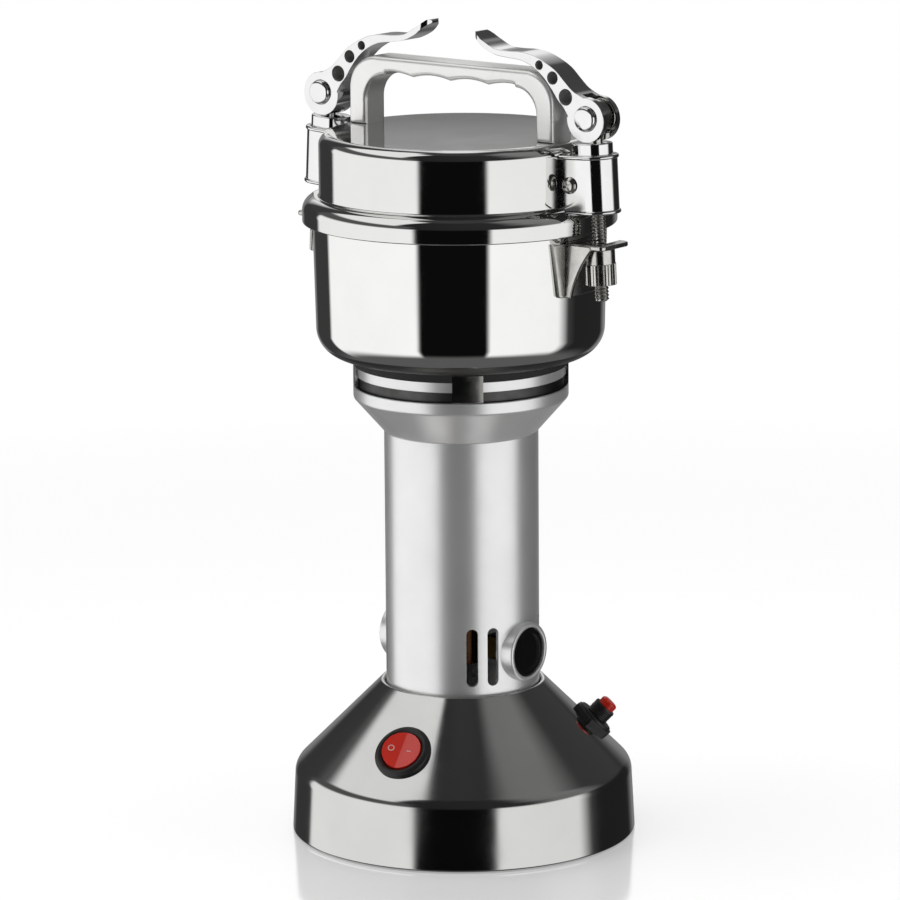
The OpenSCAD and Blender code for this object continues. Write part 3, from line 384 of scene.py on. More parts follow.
def rounded(corners: Sequence[Corner], closed: bool = True, steps: int = 6) -> List[Point]:
    """Rounds the corners of an outline.

    Args:
        corners: Corner points, each with its rounding radius.
        closed: Whether the last point joins the first.
        steps: Straight pieces in each rounding.

    Returns:
        The rounded outline.
    """
    out: List[Point] = []
    count = len(corners)
    for i, (x, y, radius) in enumerate(corners):
        here = Vector((x, y))
        if radius <= 0 or (not closed and i in (0, count - 1)):
            out.append((x, y))
            continue
        before = Vector(corners[i - 1][:2]) - here
        after = Vector(corners[(i + 1) % count][:2]) - here
        reach_in, reach_out = before.length, after.length
        before.normalize()
        after.normalize()
        angle = math.acos(max(-1.0, min(1.0, before.dot(after))))
        if angle > math.pi - 1e-3 or angle < 1e-3:
            out.append((x, y))
            continue
        length = min(radius / math.tan(angle / 2), 0.49 * reach_in, 0.49 * reach_out)
        radius = length * math.tan(angle / 2)
        centre = here + (before + after).normalized() * (radius / math.sin(angle / 2))
        start = here + before * length - centre
        end = here + after * length - centre
        a0 = math.atan2(start.y, start.x)
        sweep = math.atan2(end.y, end.x) - a0
        sweep = (sweep + math.pi) % (2 * math.pi) - math.pi
        for k in range(steps + 1):
            a = a0 + sweep * k / steps
            out.append((centre.x + radius * math.cos(a), centre.y + radius * math.sin(a)))
    return out


def arc(cx: float, cy: float, radius: float, start: float, end: float, steps: int) -> List[Point]:
    """Points on an arc.

    Args:
        cx: Centre, first coordinate.
        cy: Centre, second coordinate.
        radius: Radius.
        start: First angle, in degrees.
        end: Last angle, in degrees.
        steps: Number of straight pieces.

    Returns:
        The points.
    """
    spokes = [polar(radius, start + (end - start) * i / steps) for i in range(steps + 1)]
    return [(cx + x, cy + y) for x, y in spokes]


def circle(radius: float, count: int, cx: float = 0.0, cy: float = 0.0, hole: bool = True) -> List[Point]:
    """Points of a full circle.

    Args:
        radius: Radius.
        count: Number of points.
        cx: Centre, first coordinate.
        cy: Centre, second coordinate.
        hole: Whether it runs clockwise, as a hole does.

    Returns:
        The points.
    """
    step = 360.0 / count
    start, end = (360.0, step) if hole else (0.0, 360.0 - step)
    return arc(cx, cy, radius, start, end, count - 1)


def smooth_curve(points: Sequence[Point], steps: int) -> List[Point]:
    """A smooth curve through points.

    Args:
        points: The points it passes.
        steps: Straight pieces between two points.

    Returns:
        The curve's points.
    """
    out: List[Point] = []
    last = len(points) - 1
    for i in range(last):
        a, b, c, d = (Vector(points[min(max(k, 0), last)]) for k in range(i - 1, i + 3))
        for s in range(steps):
            t = s / steps
            p = 0.5 * (2 * b + (c - a) * t + (2 * a - 5 * b + 4 * c - d) * t * t
                       + (3 * b - a - 3 * c + d) * t ** 3)
            out.append((p.x, p.y))
    out.append(tuple(points[last]))
    return out


def lathe(profile: Sequence[Point], segments: int, closed: bool = True,
          sweep: Optional[Tuple[float, float]] = None) -> Mesh:
    """Turns a profile about Z.

    Args:
        profile: Radius and height of each point. A radius of 0 is a point on the axis.
        segments: Steps round the axis.
        closed: Whether the last point joins the first.
        sweep: First and last angle in degrees, for part of a turn with flat ends.

    Returns:
        The mesh.
    """
    made = bmesh.new()
    first, last = sweep or (0.0, 360.0)
    columns = segments + 1 if sweep else segments
    rings: List[List[bmesh.types.BMVert]] = []
    for radius, height in profile:
        if radius < 1e-6:
            rings.append([made.verts.new((0.0, 0.0, height))] * columns)
            continue
        angles = [first + (last - first) * k / segments for k in range(columns)]
        rings.append([made.verts.new((*polar(radius, angle), height)) for angle in angles])
    pairs = list(zip(rings, rings[1:])) + ([(rings[-1], rings[0])] if closed else [])
    for low, high in pairs:
        for k in range(segments):
            n = (k + 1) % columns
            corners = list(dict.fromkeys([low[k], low[n], high[n], high[k]]))
            if len(corners) > 2:
                made.faces.new(corners)
    if sweep:
        made.faces.new([ring[0] for ring in rings])
        made.faces.new([ring[-1] for ring in reversed(rings)])
    bmesh.ops.recalc_face_normals(made, faces=made.faces)
    return made


def slab(outlines: Sequence[Sequence[Point]], low: float, high: float, edge: float = 0.0,
         edge_steps: int = 2) -> Mesh:
    """A plate with holes, cut from outlines and rounded along its edges.

    Args:
        outlines: The outer outline and then the holes.
        low: Height of the lower face.
        high: Height of the upper face.
        edge: Rounding of the edges.
        edge_steps: Steps in that rounding.

    Returns:
        The mesh.
    """
    curve = bpy.data.curves.new("slab", "CURVE")
    curve.dimensions = "2D"
    curve.fill_mode = "BOTH"
    curve.extrude = max((high - low) / 2 - edge, 0.0)
    curve.bevel_depth = edge
    curve.bevel_resolution = edge_steps
    curve.offset = -edge
    for outline in outlines:
        spline = curve.splines.new("POLY")
        spline.points.add(len(outline) - 1)
        for point, (x, y) in zip(spline.points, outline):
            point.co = (x, y, 0.0, 1.0)
        spline.use_cyclic_u = True
    holder = bpy.data.objects.new("slab", curve)
    bpy.context.scene.collection.objects.link(holder)
    bpy.context.view_layer.update()
    graph = bpy.context.evaluated_depsgraph_get()
    mesh = bpy.data.meshes.new_from_object(holder.evaluated_get(graph))
    made = bmesh.new()
    made.from_mesh(mesh)
    bpy.data.objects.remove(holder)
    bpy.data.curves.remove(curve)
    bpy.data.meshes.remove(mesh)
    bmesh.ops.remove_doubles(made, verts=made.verts, dist=1e-4)
    bmesh.ops.translate(made, verts=made.verts, vec=(0.0, 0.0, (low + high) / 2))
    bmesh.ops.recalc_face_normals(made, faces=made.faces)
    return made


def bead(path: Sequence[Corner], radius: float, sides: int = 12) -> Mesh:
    """A round wire along a path.

    Args:
        path: Points of the wire's middle.
        radius: Radius of the wire.
        sides: Sides of the wire.

    Returns:
        The mesh.
    """
    made = bmesh.new()
    points = [Vector(p) for p in path]
    last = len(points) - 1
    spokes = [polar(radius, 360.0 * k / sides) for k in range(sides)]
    rings = []
    for i, p in enumerate(points):
        along = (points[min(i + 1, last)] - points[max(i - 1, 0)]).normalized()
        side = along.cross(Vector((0, 0, 1))).normalized()
        up = side.cross(along)
        rings.append([made.verts.new(p + side * x + up * y) for x, y in spokes])
    for low, high in zip(rings, rings[1:]):
        for k in range(sides):
            n = (k + 1) % sides
            made.faces.new((low[k], low[n], high[n], high[k]))
    made.faces.new(rings[0])
    made.faces.new(rings[-1])
    bmesh.ops.recalc_face_normals(made, faces=made.faces)
    return made


def moved(mesh: Mesh, *steps: Matrix) -> Mesh:
    """Moves a mesh through the given steps, the last one first.

    Args:
        mesh: The mesh, changed in place.
        steps: Matrices, as they would be written in a product.

    Returns:
        The same mesh.
    """
    whole = Matrix.Identity(4)
    for step in steps:
        whole = whole @ step
    bmesh.ops.transform(mesh, matrix=whole, verts=mesh.verts)
    return mesh


def joined(*parts: Mesh) -> Mesh:
    """Puts meshes together as one.

    Args:
        parts: The meshes, which are used up.

    Returns:
        The mesh that holds them all.
    """
    whole = bmesh.new()
    for part in parts:
        holder = bpy.data.meshes.new("part")
        part.to_mesh(holder)
        part.free()
        whole.from_mesh(holder)
        bpy.data.meshes.remove(holder)
    return whole


def cut_object(mesh: Mesh) -> bpy.types.Object:
    """Puts a mesh in the scene for a cut.

    Args:
        mesh: The mesh, which is used up.

    Returns:
        The object that holds it.
    """
    data = bpy.data.meshes.new("cut")
    mesh.to_mesh(data)
    mesh.free()
    holder = bpy.data.objects.new("cut", data)
    bpy.context.scene.collection.objects.link(holder)
    return holder


def carved(body: Mesh, cutters: Iterable[Mesh], keep: bool = False) -> Mesh:
    """Cuts meshes out of another, or keeps only what they share.

    Args:
        body: The mesh that is cut, which is used up.
        cutters: The meshes that cut, which are used up.
        keep: Keep what is shared in place of what is left.

    Returns:
        The cut mesh.
    """
    main = cut_object(body)
    tools = [cut_object(cutter) for cutter in cutters]
    for tool in tools:
        step = main.modifiers.new("cut", "BOOLEAN")
        step.operation = "INTERSECT" if keep else "DIFFERENCE"
        step.solver = "EXACT"
        step.object = tool
    bpy.context.view_layer.update()
    graph = bpy.context.evaluated_depsgraph_get()
    result = bpy.data.meshes.new_from_object(main.evaluated_get(graph))
    made = bmesh.new()
    made.from_mesh(result)
    for holder in [main, *tools]:
        data = holder.data
        bpy.data.objects.remove(holder)
        bpy.data.meshes.remove(data)
    bpy.data.meshes.remove(result)
    return made


def box_mesh(low: Sequence[float], high: Sequence[float]) -> Mesh:
    """A cutting block between two corners.

    Args:
        low: Lowest corner.
        high: Highest corner.

    Returns:
        The mesh.
    """
    made = bmesh.new()
    bmesh.ops.create_cube(made, size=1.0)
    size = [h - b for b, h in zip(low, high)]
    middle = [(h + b) / 2 for b, h in zip(low, high)]
    return moved(made, Matrix.Translation(middle), Matrix.Diagonal((*size, 1.0)))


def upright(mesh: Mesh) -> Mesh:
    """Stands an outline drawn in X and Z up, with its thickness along Y."""
    return moved(mesh, spin(90, "X"))


def piece(name: str, mesh: Mesh, body: str, finish: Finish, nodes: Sequence[str] = (),
          edge: float = 0.0, crease: float = 35.0) -> bpy.types.Object:
    """Makes a mesh a piece of the model that rides on a body.

    Args:
        name: The piece's name.
        mesh: Its mesh in millimetres, in the row frame, which is used up.
        body: The body it moves with.
        finish: Its finish.
        nodes: CAD nodes it stands for.
        edge: Rounding of its sharp edges, or 0 for none.
        crease: Angle, in degrees, from which an edge is sharp.

    Returns:
        The piece.
    """
    data = bpy.data.meshes.new(name)
    bmesh.ops.scale(mesh, vec=(MM, MM, MM), verts=mesh.verts)
    mesh.to_mesh(data)
    mesh.free()
    data.shade_smooth()
    data.set_sharp_from_angle(angle=math.radians(crease))
    data.materials.append(finish.material())
    made = bpy.data.objects.new(name, data)
    bpy.context.scene.collection.objects.link(made)
    if edge > 0:
        bevel = made.modifiers.new("edge", "BEVEL")
        bevel.width = edge * MM
        bevel.segments = 2
        bevel.limit_method = "ANGLE"
        bevel.angle_limit = math.radians(crease)
    weighted = made.modifiers.new("even shading", "WEIGHTED_NORMAL")
    weighted.keep_sharp = edge <= 0
    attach(made, body)
    if nodes:
        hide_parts(*nodes)
    LOG.info("piece %s rides on %s", name, body)
    return made


def dress(finish: Finish, *nodes: str) -> None:
    """Gives CAD nodes that keep their shape a finish.

    Args:
        finish: The finish.
        nodes: The nodes.
    """
    for name in nodes:
        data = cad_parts[name].data
        data.materials.clear()
        data.materials.append(finish.material())
        LOG.info("node %s is dressed", name)


# Sub-assemblies


@dataclass
class Base:
    """The spun base with its switch, breaker, gland, plate and feet.

    The controls sit on the cone at an angle round the motor axis. Their heights are measured from
    the outer face of the sheet, square to it.
    """

    skirt_r: float = 73.6
    skirt_top_r: float = 72.1
    skirt_h: float = 28.8
    rounding: float = 7.5
    slope: float = 45.0
    neck_r: float = 33.15
    curl: float = 1.3
    sheet: float = 1.2
    gap: float = 0.6
    hem: float = 5.0
    hem_h: float = 3.0
    control_r: float = 55.1
    drill_half: float = 5.0
    rocker_angle: float = -79.5
    rocker_hole: float = 10.2
    bezel_r: float = 12.3
    bezel_in: float = 8.9
    bezel_low: float = -1.6
    bezel_crest: Point = (10.4, 2.35)
    well_low: float = -6.0
    switch_r: float = 10.1
    switch_low: float = -17.0
    rocker_r: float = 8.6
    rocker_block: float = 10.0
    rocker_tilt: float = 7.0
    rocker_lift: float = 0.9
    valley: float = 1.3
    ring_mark: Point = (1.05, 1.4)
    ring_place: float = -4.6
    dash_half: Point = (0.18, 0.95)
    dash_place: float = 3.4
    mark_low: float = -0.1
    mark_top: float = 0.05
    breaker_angle: float = 40.0
    breaker_hole: float = 5.1
    bushing_r: float = 5.05
    bushing_in: float = 3.9
    bushing_top: float = 8.8
    thread_root: float = 4.78
    thread_low: float = 3.2
    thread_pitch: float = 0.85
    thread_rise: float = 0.42
    thread_turns: int = 6
    case_r: float = 7.0
    case_top: float = -1.8
    case_low: float = -20.0
    nut_r: float = 10.6
    nut_turn: float = 15.0
    nut_span: Point = (-0.9, 2.0)
    crown_span: Point = (1.6, 3.2)
    button_r: float = 3.8
    button_low: float = 1.0
    button_top: float = 12.0
    gland_angle: float = 160.0
    gland_hole: float = 6.1
    gland_r: float = 6.0
    gland_bore: float = 3.6
    gland_rim: float = 8.5
    gland_low: float = -9.0
    gland_seat: float = -0.9
    gland_top: float = 3.0

    def cone_z(self, radius: float) -> float:
        """Height of the cone's outer face at a radius."""
        return self.skirt_h + (self.skirt_top_r - radius) * math.tan(math.radians(self.slope))

    def on_cone(self, angle: float) -> Matrix:
        """Place on the cone with Z square to the sheet, X down the slope and Y along the ring."""
        out = shift(self.control_r, 0.0, self.cone_z(self.control_r))
        return spin(angle, "Z") @ out @ spin(self.slope, "Y")

    def build(self) -> None:
        """Builds the shell and what sits in it."""
        controls = ((self.rocker_angle, self.rocker_hole, self.build_rocker),
                    (self.breaker_angle, self.breaker_hole, self.build_breaker),
                    (self.gland_angle, self.gland_hole, self.build_gland))
        half = self.drill_half
        drills = [moved(lathe([(0.0, -half), (radius, -half), (radius, half), (0.0, half)], 64, closed=False),
                        self.on_cone(angle)) for angle, radius, _ in controls]
        shell = carved(lathe(self.profile(), 256), drills)
        piece("base_shell_spun", shell, "housing", SPUN, ["base_shell"])
        for angle, _, build in controls:
            build(self.on_cone(angle))
        dress(ZINC, "base_plate", "foot_screws", "foot_nuts")
        dress(RUBBER, "rubber_feet")
        dress(BLACK, "gland_nut")

    def profile(self) -> List[Point]:
        """Section of the sheet: hem, leaning skirt, rounding, cone and the edge rolled down to the tube.

        Returns:
            Radius and height of its points.
        """
        lean = math.atan((self.skirt_r - self.skirt_top_r) / (self.skirt_h - self.gap))
        turn = math.radians(90.0 - self.slope)
        reach = self.rounding * math.tan((turn - lean) / 2)
        x = self.skirt_top_r + reach * math.sin(lean) - self.rounding * math.cos(lean)
        z = self.skirt_h - reach * math.cos(lean) - self.rounding * math.sin(lean)
        first, last = math.degrees(lean), math.degrees(turn)
        curl_x = self.neck_r + self.curl
        curl_z = self.cone_z(curl_x) - self.curl / math.cos(math.radians(self.slope))
        outer = arc(x, z, self.rounding, first, last, 16) + arc(curl_x, curl_z, self.curl, last, 180, 20)
        inner = (arc(curl_x, curl_z, self.curl - self.sheet, 180, last, 12)
                 + arc(x, z, self.rounding - self.sheet, last, first, 12))
        hem_in, hem_top = self.skirt_r - self.hem, self.gap + self.hem_h
        foot = rounded([
            (*inner[-1], 0), (self.skirt_r - self.sheet, hem_top, 0.2), (hem_in, hem_top, 0.4),
            (hem_in, self.gap, 0.4), (self.skirt_r, self.gap, 0.9), (*outer[0], 0)], closed=False)
        return foot[1:-1] + outer + inner

    def build_rocker(self, place: Matrix) -> None:
        """Builds the round power switch.

        Args:
            place: Where its panel face lies.
        """
        bezel = rounded([
            (self.bezel_in, self.well_low, 0.0), (self.bezel_in, 1.5, 0.5), (*self.bezel_crest, 0.8),
            (self.bezel_r, 1.1, 1.0), (self.bezel_r, self.bezel_low, 0.0),
            (self.switch_r, self.bezel_low, 0.0), (self.switch_r, self.switch_low, 0.8),
            (0.0, self.switch_low, 0.0), (0.0, self.well_low, 0.0)], closed=False)
        piece("switch_bezel", moved(lathe(bezel, 96), place), "housing", BLACK, ["rocker_bezel"])
        half, tilt, ball = self.rocker_block, self.rocker_tilt, self.rocker_r
        top = self.valley + half * math.tan(math.radians(tilt))
        globe = [(0.0, -ball), *(polar(ball, angle) for angle in range(-84, 90, 6)), (0.0, ball)]
        section = [(-half, -5.0), (half, -5.0), (half, top), (0.0, self.valley), (-half, top)]
        wedge = moved(slab([section], -half, half), spin(90, "Z"), spin(90, "X"))
        cap = carved(lathe(globe, 96, closed=False), [wedge], keep=True)
        lean = place @ shift(0, 0, self.rocker_lift) @ spin(-tilt, "X")
        piece("rocker_cap", moved(cap, lean), "power_rocker", RED, ["rocker"], edge=0.5, crease=25.0)
        low, high = self.mark_low, self.mark_top
        within, out = self.ring_mark
        ring = lathe(rounded([(within, low, 0), (out, low, 0), (out, high, 0.02), (within, high, 0.02)]), 40)
        across, along = self.dash_half
        dash = slab([rounded([(-across, -along, 0.1), (across, -along, 0.1), (across, along, 0.1),
                              (-across, along, 0.1)])], low, high)
        for name, mark, slant, y in (("mark_off", ring, -tilt, self.ring_place),
                                     ("mark_on", dash, tilt, self.dash_place)):
            mark = moved(mark, lean, shift(0, 0, self.valley), spin(slant, "X"), shift(0, y, 0))
            piece(name, mark, "power_rocker", PRINT)

    def build_breaker(self, place: Matrix) -> None:
        """Builds the reset breaker.

        Args:
            place: Where its panel face lies.
        """
        thread: List[Point] = []
        for i in range(self.thread_turns):
            z = self.thread_low + i * self.thread_pitch
            thread += [(self.thread_root, z), (self.bushing_r, z + self.thread_rise)]
        well = self.case_top + 0.1
        sleeve = [(self.bushing_in, well), (self.bushing_in, self.bushing_top - 0.4), (4.2, self.bushing_top),
                  (4.75, self.bushing_top), *thread[::-1], (self.bushing_r, self.thread_low - 0.2),
                  (self.bushing_r, self.case_top), (self.case_r, self.case_top), (self.case_r, self.case_low),
                  (0.0, self.case_low), (0.0, well)]
        piece("breaker_case", moved(lathe(sleeve, 72), place), "housing", BLACK, ["breaker_body"])
        hexagon = rounded([(*polar(self.nut_r, 60 * k + self.nut_turn), 1.6) for k in range(6)], steps=5)
        nut = slab([hexagon, circle(self.breaker_hole, 48)], *self.nut_span, edge=0.5)
        low, high = self.crown_span
        crown = lathe(rounded([(self.breaker_hole, low, 0.0), (8.6, low, 0.0), (8.2, high, 0.6),
                               (self.breaker_hole, high, 0.3)]), 72)
        piece("breaker_ring_nut", moved(joined(nut, crown), place), "housing", BLACK, ["breaker_nut"])
        high = self.button_top
        button = rounded([
            (0.0, high, 0.0), (3.0, high - 0.1, 0.6), (self.button_r, high - 0.8, 0.7),
            (self.button_r, self.button_low, 0.2), (0.0, self.button_low, 0.0)], closed=False)
        button = moved(lathe(button, 64, closed=False), place)
        piece("reset_cap", button, "reset_button", RED, ["breaker_button"])

    def build_gland(self, place: Matrix) -> None:
        """Builds the cord gland.

        Args:
            place: Where its panel face lies.
        """
        gland = rounded([
            (self.gland_bore, self.gland_low, 0.3), (self.gland_r, self.gland_low, 0.4),
            (self.gland_r, self.gland_seat, 0.0), (self.gland_rim, self.gland_seat, 0.0),
            (self.gland_rim, 1.8, 0.6), (6.4, self.gland_top, 0.8), (self.gland_bore, self.gland_top, 0.7)])
        piece("gland_bush", moved(lathe(gland, 72), place), "housing", BLACK, ["cord_gland"])


@dataclass
class Column:
    """The motor tube with its bosses and vents, and the collar that carries the bowl."""

    tube_r: float = 32.75
    tube_in: float = 30.35
    low: float = 52.21
    top: float = 174.81
    brush_z: float = 82.31
    boss_r: float = 12.5
    boss_foot: float = 28.0
    boss_face: float = 36.0
    cap_r: float = 10.5
    cap_foot: float = 31.7
    cap_face: float = 35.2
    dish_r: float = 8.0
    dish_face: float = 34.4
    vent_w: float = 5.0
    vent_len: float = 25.0
    vent_turns: Tuple[float, ...] = (29.0, 45.0, 135.0, 151.0, 209.0, 225.0, 315.0, 331.0)
    collar_r: float = 45.6
    collar_in: float = 14.0
    groove: float = 2.0
    ring_z: float = 189.41
    step_z: float = 194.51
    collar_top: float = 198.71
    hollow_r: float = 42.8
    spigot_r: float = 30.3
    spigot_in: float = 27.5
    spigot_low: float = 166.9
    seat_in: float = 10.6
    seat_back: float = 1.3
    gasket_back: float = 0.25
    gasket_z: float = 203.01
    bowl_z: float = 207.31
    tab_in: float = 43.65
    tab_w: float = 13.0
    tab_angle: float = 41.5
    tab_count: int = 4

    def build(self) -> None:
        """Builds the tube, its bosses and caps, and the collar with the bowl's seat."""
        wall = lathe(rounded([(self.tube_in, self.low, 0), (self.tube_r, self.low, 0),
                              (self.tube_r, self.top, 0.3), (self.tube_in, self.top, 0)]), 240)
        slots = [self.vent_cutter(turn) for turn in self.vent_turns]
        piece("motor_tube_wall", carved(wall, slots), "housing", SATIN, ["motor_tube"], edge=0.8)
        for side in Side:
            self.build_boss(side)
        self.build_collar()
        self.build_seat()
        dress(SATIN, "tube_ring", "lower_bracket")

    def vent_cutter(self, turn: float) -> Mesh:
        """The block that cuts one vent slot.

        Args:
            turn: Angle round the axis, in degrees.

        Returns:
            The block.
        """
        half = self.vent_w / 2
        reach = self.vent_len / 2 - half
        outline = arc(0, reach, half, 0, 180, 14) + arc(0, -reach, half, 180, 360, 14)
        block = slab([outline], 20.0, 40.0)
        return moved(block, spin(turn, "Z"), shift(0, 0, self.brush_z), spin(90, "Y"), spin(90, "Z"))

    def build_boss(self, side: Side) -> None:
        """Builds a boss on the tube with the screwed cap of its brush.

        Args:
            side: Which side of the tube it is on.
        """
        along = shift(0, 0, self.brush_z) @ spin(90, "Y")
        bore = self.cap_r + 0.05
        boss = rounded([(bore, self.boss_foot, 0.0), (self.boss_r + 0.5, self.boss_foot, 0.0),
                        (self.boss_r, self.boss_face, 0.9), (bore, self.boss_face, 0.5)], steps=5)
        piece("brush_boss_" + side.word, moved(lathe(boss, 96), side.turn, along), "housing", SATIN)
        cap = rounded([
            (0.0, self.cap_foot, 0.0), (self.cap_r, self.cap_foot, 0.0), (self.cap_r, self.cap_face, 0.6),
            (self.dish_r, self.cap_face, 0.3), (self.dish_r, self.dish_face, 0.2),
            (0.0, self.dish_face, 0.0)], closed=False, steps=4)
        nodes = ["brush_caps"] if side is Side.RIGHT else []
        cap = moved(lathe(cap, 72, closed=False), side.turn, along)
        piece("brush_cap_" + side.word, cap, "housing", PHENOLIC, nodes)

    def build_collar(self) -> None:
        """Builds the flared collar, with the groove above its ring painted dark as painted shade."""
        inset = self.collar_r - self.groove
        flare = lathe(rounded([
            (self.tube_r, self.top, 0.6), (self.collar_r, self.ring_z, 2.0),
            (self.collar_r, self.step_z, 0.6), (inset, self.step_z, 0.3), (inset, self.collar_top, 0.2),
            (self.collar_in, self.collar_top, 0), (self.collar_in, 194.7, 0), (self.hollow_r, 194.0, 0),
            (self.hollow_r, 189.9, 0), (self.spigot_in, 175.3, 0), (self.spigot_in, self.spigot_low, 0),
            (self.spigot_r, self.spigot_low, 0), (self.spigot_r, self.top, 0)]), 200)
        # Faces in the groove above the ring get the groove's painted shade.
        for face in flare.faces:
            middle = face.calc_center_median()
            if self.step_z - 0.1 < middle.z and math.hypot(middle.x, middle.y) < self.collar_r - 0.5:
                face.material_index = 1
        flare = piece("collar_flare", flare, "housing", SATIN, ["collar"])
        flare.data.materials.append(GROOVE_SHADE.material())

    def build_seat(self) -> None:
        """Builds the ring and tabs that the bowl sits in, and the gasket under it."""
        rim = self.collar_r - self.seat_back
        seat = rounded([(self.seat_in, self.collar_top, 0), (rim, self.collar_top, 0.2),
                        (rim, self.gasket_z, 0.2), (self.seat_in, self.gasket_z, 0)])
        piece("bowl_seat_ring", lathe(seat, 200), "housing", SATIN, ["bowl_seat"])
        half = math.degrees(self.tab_w / 2 / self.collar_r)
        low, high = self.step_z + 0.1, self.bowl_z - 1.0
        tab = rounded([(self.tab_in, low, 0.2), (self.collar_r, low, 0.3), (self.collar_r, high, 0.5),
                       (self.tab_in, high, 0.3)], steps=3)
        middles = [self.tab_angle + 360 / self.tab_count * k for k in range(self.tab_count)]
        tabs = [lathe(tab, 10, sweep=(middle - half, middle + half)) for middle in middles]
        piece("bowl_seat_tabs", joined(*tabs), "housing", ZINC)
        rim = self.collar_r - self.gasket_back
        gasket = rounded([(self.seat_in, self.gasket_z, 0), (rim, self.gasket_z, 0.6),
                          (rim, self.bowl_z, 0.6), (self.seat_in, self.bowl_z, 0)])
        piece("bowl_gasket_ring", lathe(gasket, 200), "housing", RUBBER, ["bowl_gasket"])


@dataclass
class Bowl:
    """The deep-drawn bowl and the slotted brackets that the clamps pull on."""

    radius: float = 62.0
    draft: float = 1.3
    low: float = 207.31
    shoulder_z: float = 264.41
    rim: float = 267.91
    corner: float = 12.3
    sheet: float = 1.2
    bead: float = 1.1
    hole_r: float = 8.65
    clamp_r: float = 73.06
    plate_low: float = 259.91
    plate_top: float = 261.91
    plate_half: float = 9.75
    plate_out: float = 81.56
    back_h: float = 23.0
    back_half: float = 16.5
    back_taper: float = 9.0
    back_t: float = 1.9
    gusset: float = 13.5
    gusset_t: float = 2.0
    gusset_r: float = 49.0
    gusset_centre: Point = (37.5, -10.9)
    slot_half: float = 3.5
    seat_gap: float = 0.05

    @property
    def lean(self) -> float:
        """Lean of the wall, in radians."""
        return math.atan(self.draft / (self.shoulder_z - self.low))

    @property
    def foot(self) -> float:
        """Height of the lower end of a bracket."""
        return self.plate_top - self.back_h

    def wall(self, z: float) -> float:
        """Outer radius of the wall at a height."""
        return self.radius - (self.shoulder_z - z) * math.tan(self.lean)

    def seat(self, z: float) -> float:
        """Radius at which a bracket lies on the wall at a height."""
        return self.wall(z) + self.seat_gap

    def build(self) -> None:
        """Builds the bowl and its brackets."""
        inside = self.wall(self.rim - self.bead) - self.sheet
        mid_z = self.low + self.corner
        mid = self.wall(mid_z) - self.corner / math.cos(self.lean)
        last = -math.degrees(self.lean)
        outer = [(self.hole_r, self.low), *arc(mid, mid_z, self.corner, -90, last, 24),
                 (self.wall(self.rim - 2.2), self.rim - 2.2)]
        lip = arc(inside + self.bead, self.rim - self.bead, self.bead, -40, 180, 14)
        inner = [(self.wall(self.rim - 4.0) - self.sheet, self.rim - 4.0),
                 *arc(mid, mid_z, self.corner - self.sheet, last, -90, 24),
                 (self.hole_r, self.low + self.sheet)]
        skin = lathe(outer + lip + inner, 256)
        # Downward faces low on the bowl get the underside's painted shade.
        for face in skin.faces:
            if face.normal.z < -0.6 and face.calc_center_median().z < mid_z:
                face.material_index = 1
        skin = piece("bowl_drawn", skin, "housing", POLISHED, ["bowl"])
        skin.data.materials.append(UNDERSIDE_SHADE.material())
        for side in Side:
            bracket = moved(joined(self.plate(), self.back(), self.rib()), side.turn)
            piece("bowl_bracket_" + side.word, bracket, "housing", ZINC, ["bracket_" + side.word])
        dress(ZINC, "bowl_screws")
        dress(SILICONE, "shaft_seal")

    def plate(self) -> Mesh:
        """The bracket's plate, with the slot that the rod swings into.

        Returns:
            The mesh.
        """
        wall = self.seat(self.plate_top)
        near, far = self.clamp_r - self.slot_half, self.clamp_r + self.slot_half
        reach, end, edge = (math.degrees(math.asin(self.plate_half / r)) for r in (wall, near, far))
        inner = arc(0, 0, wall, reach, -reach, 10)
        nose = rounded([
            (polar(wall, reach)[0], -self.plate_half, 0), (self.plate_out, -self.plate_half, 2.5),
            (self.plate_out, self.plate_half, 2.5), (polar(far, edge)[0], self.plate_half, 0.8)],
            closed=False, steps=5)
        slot = (arc(0, 0, far, edge, 0, 6) + arc(self.clamp_r, 0, self.slot_half, 0, -180, 14)
                + arc(0, 0, near, 0, end, 6))
        return slab([inner + nose[1:] + slot], self.plate_low, self.plate_top, edge=0.6, edge_steps=3)

    def back(self) -> Mesh:
        """The bracket's back on the bowl, narrower towards its foot.

        Returns:
            The mesh.
        """
        wall, low_wall, foot = self.seat(self.plate_top), self.seat(self.foot), self.foot
        top = self.plate_top - 0.3
        spread = math.degrees(math.asin(self.back_half / wall))
        sheet = lathe(rounded([
            (low_wall, foot, 0.3), (low_wall + self.back_t, foot, 0.6), (wall + self.back_t, top, 0.5),
            (wall, top, 0.3)], steps=3), 32, sweep=(-spread, spread))
        foot_half = self.back_half - self.back_h * math.tan(math.radians(self.back_taper))
        front = rounded([(-foot_half, foot, 1.5), (foot_half, foot, 1.5), (self.back_half, self.plate_top, 0),
                         (-self.back_half, self.plate_top, 0)])
        return carved(sheet, [moved(slab([front], 30.0, 90.0), spin(90, "Z"), spin(90, "X"))], keep=True)

    def rib(self) -> Mesh:
        """The gusset under the plate, hollowed by an arc.

        Returns:
            The mesh.
        """
        wall, low_wall, foot = self.seat(self.plate_top), self.seat(self.foot), self.foot
        top = self.plate_top - 0.5
        out, up = self.gusset_centre
        outline = [(low_wall - 0.6, foot),
                   *arc(wall + self.gusset + out, foot + up, self.gusset_r, 167.0, 139.4, 16),
                   (wall + self.gusset, top), (wall - 0.5, top)]
        web = upright(slab([outline], 0, self.gusset_t, edge=0.45))
        return moved(web, shift(0, -self.plate_half + 1.5, 0))


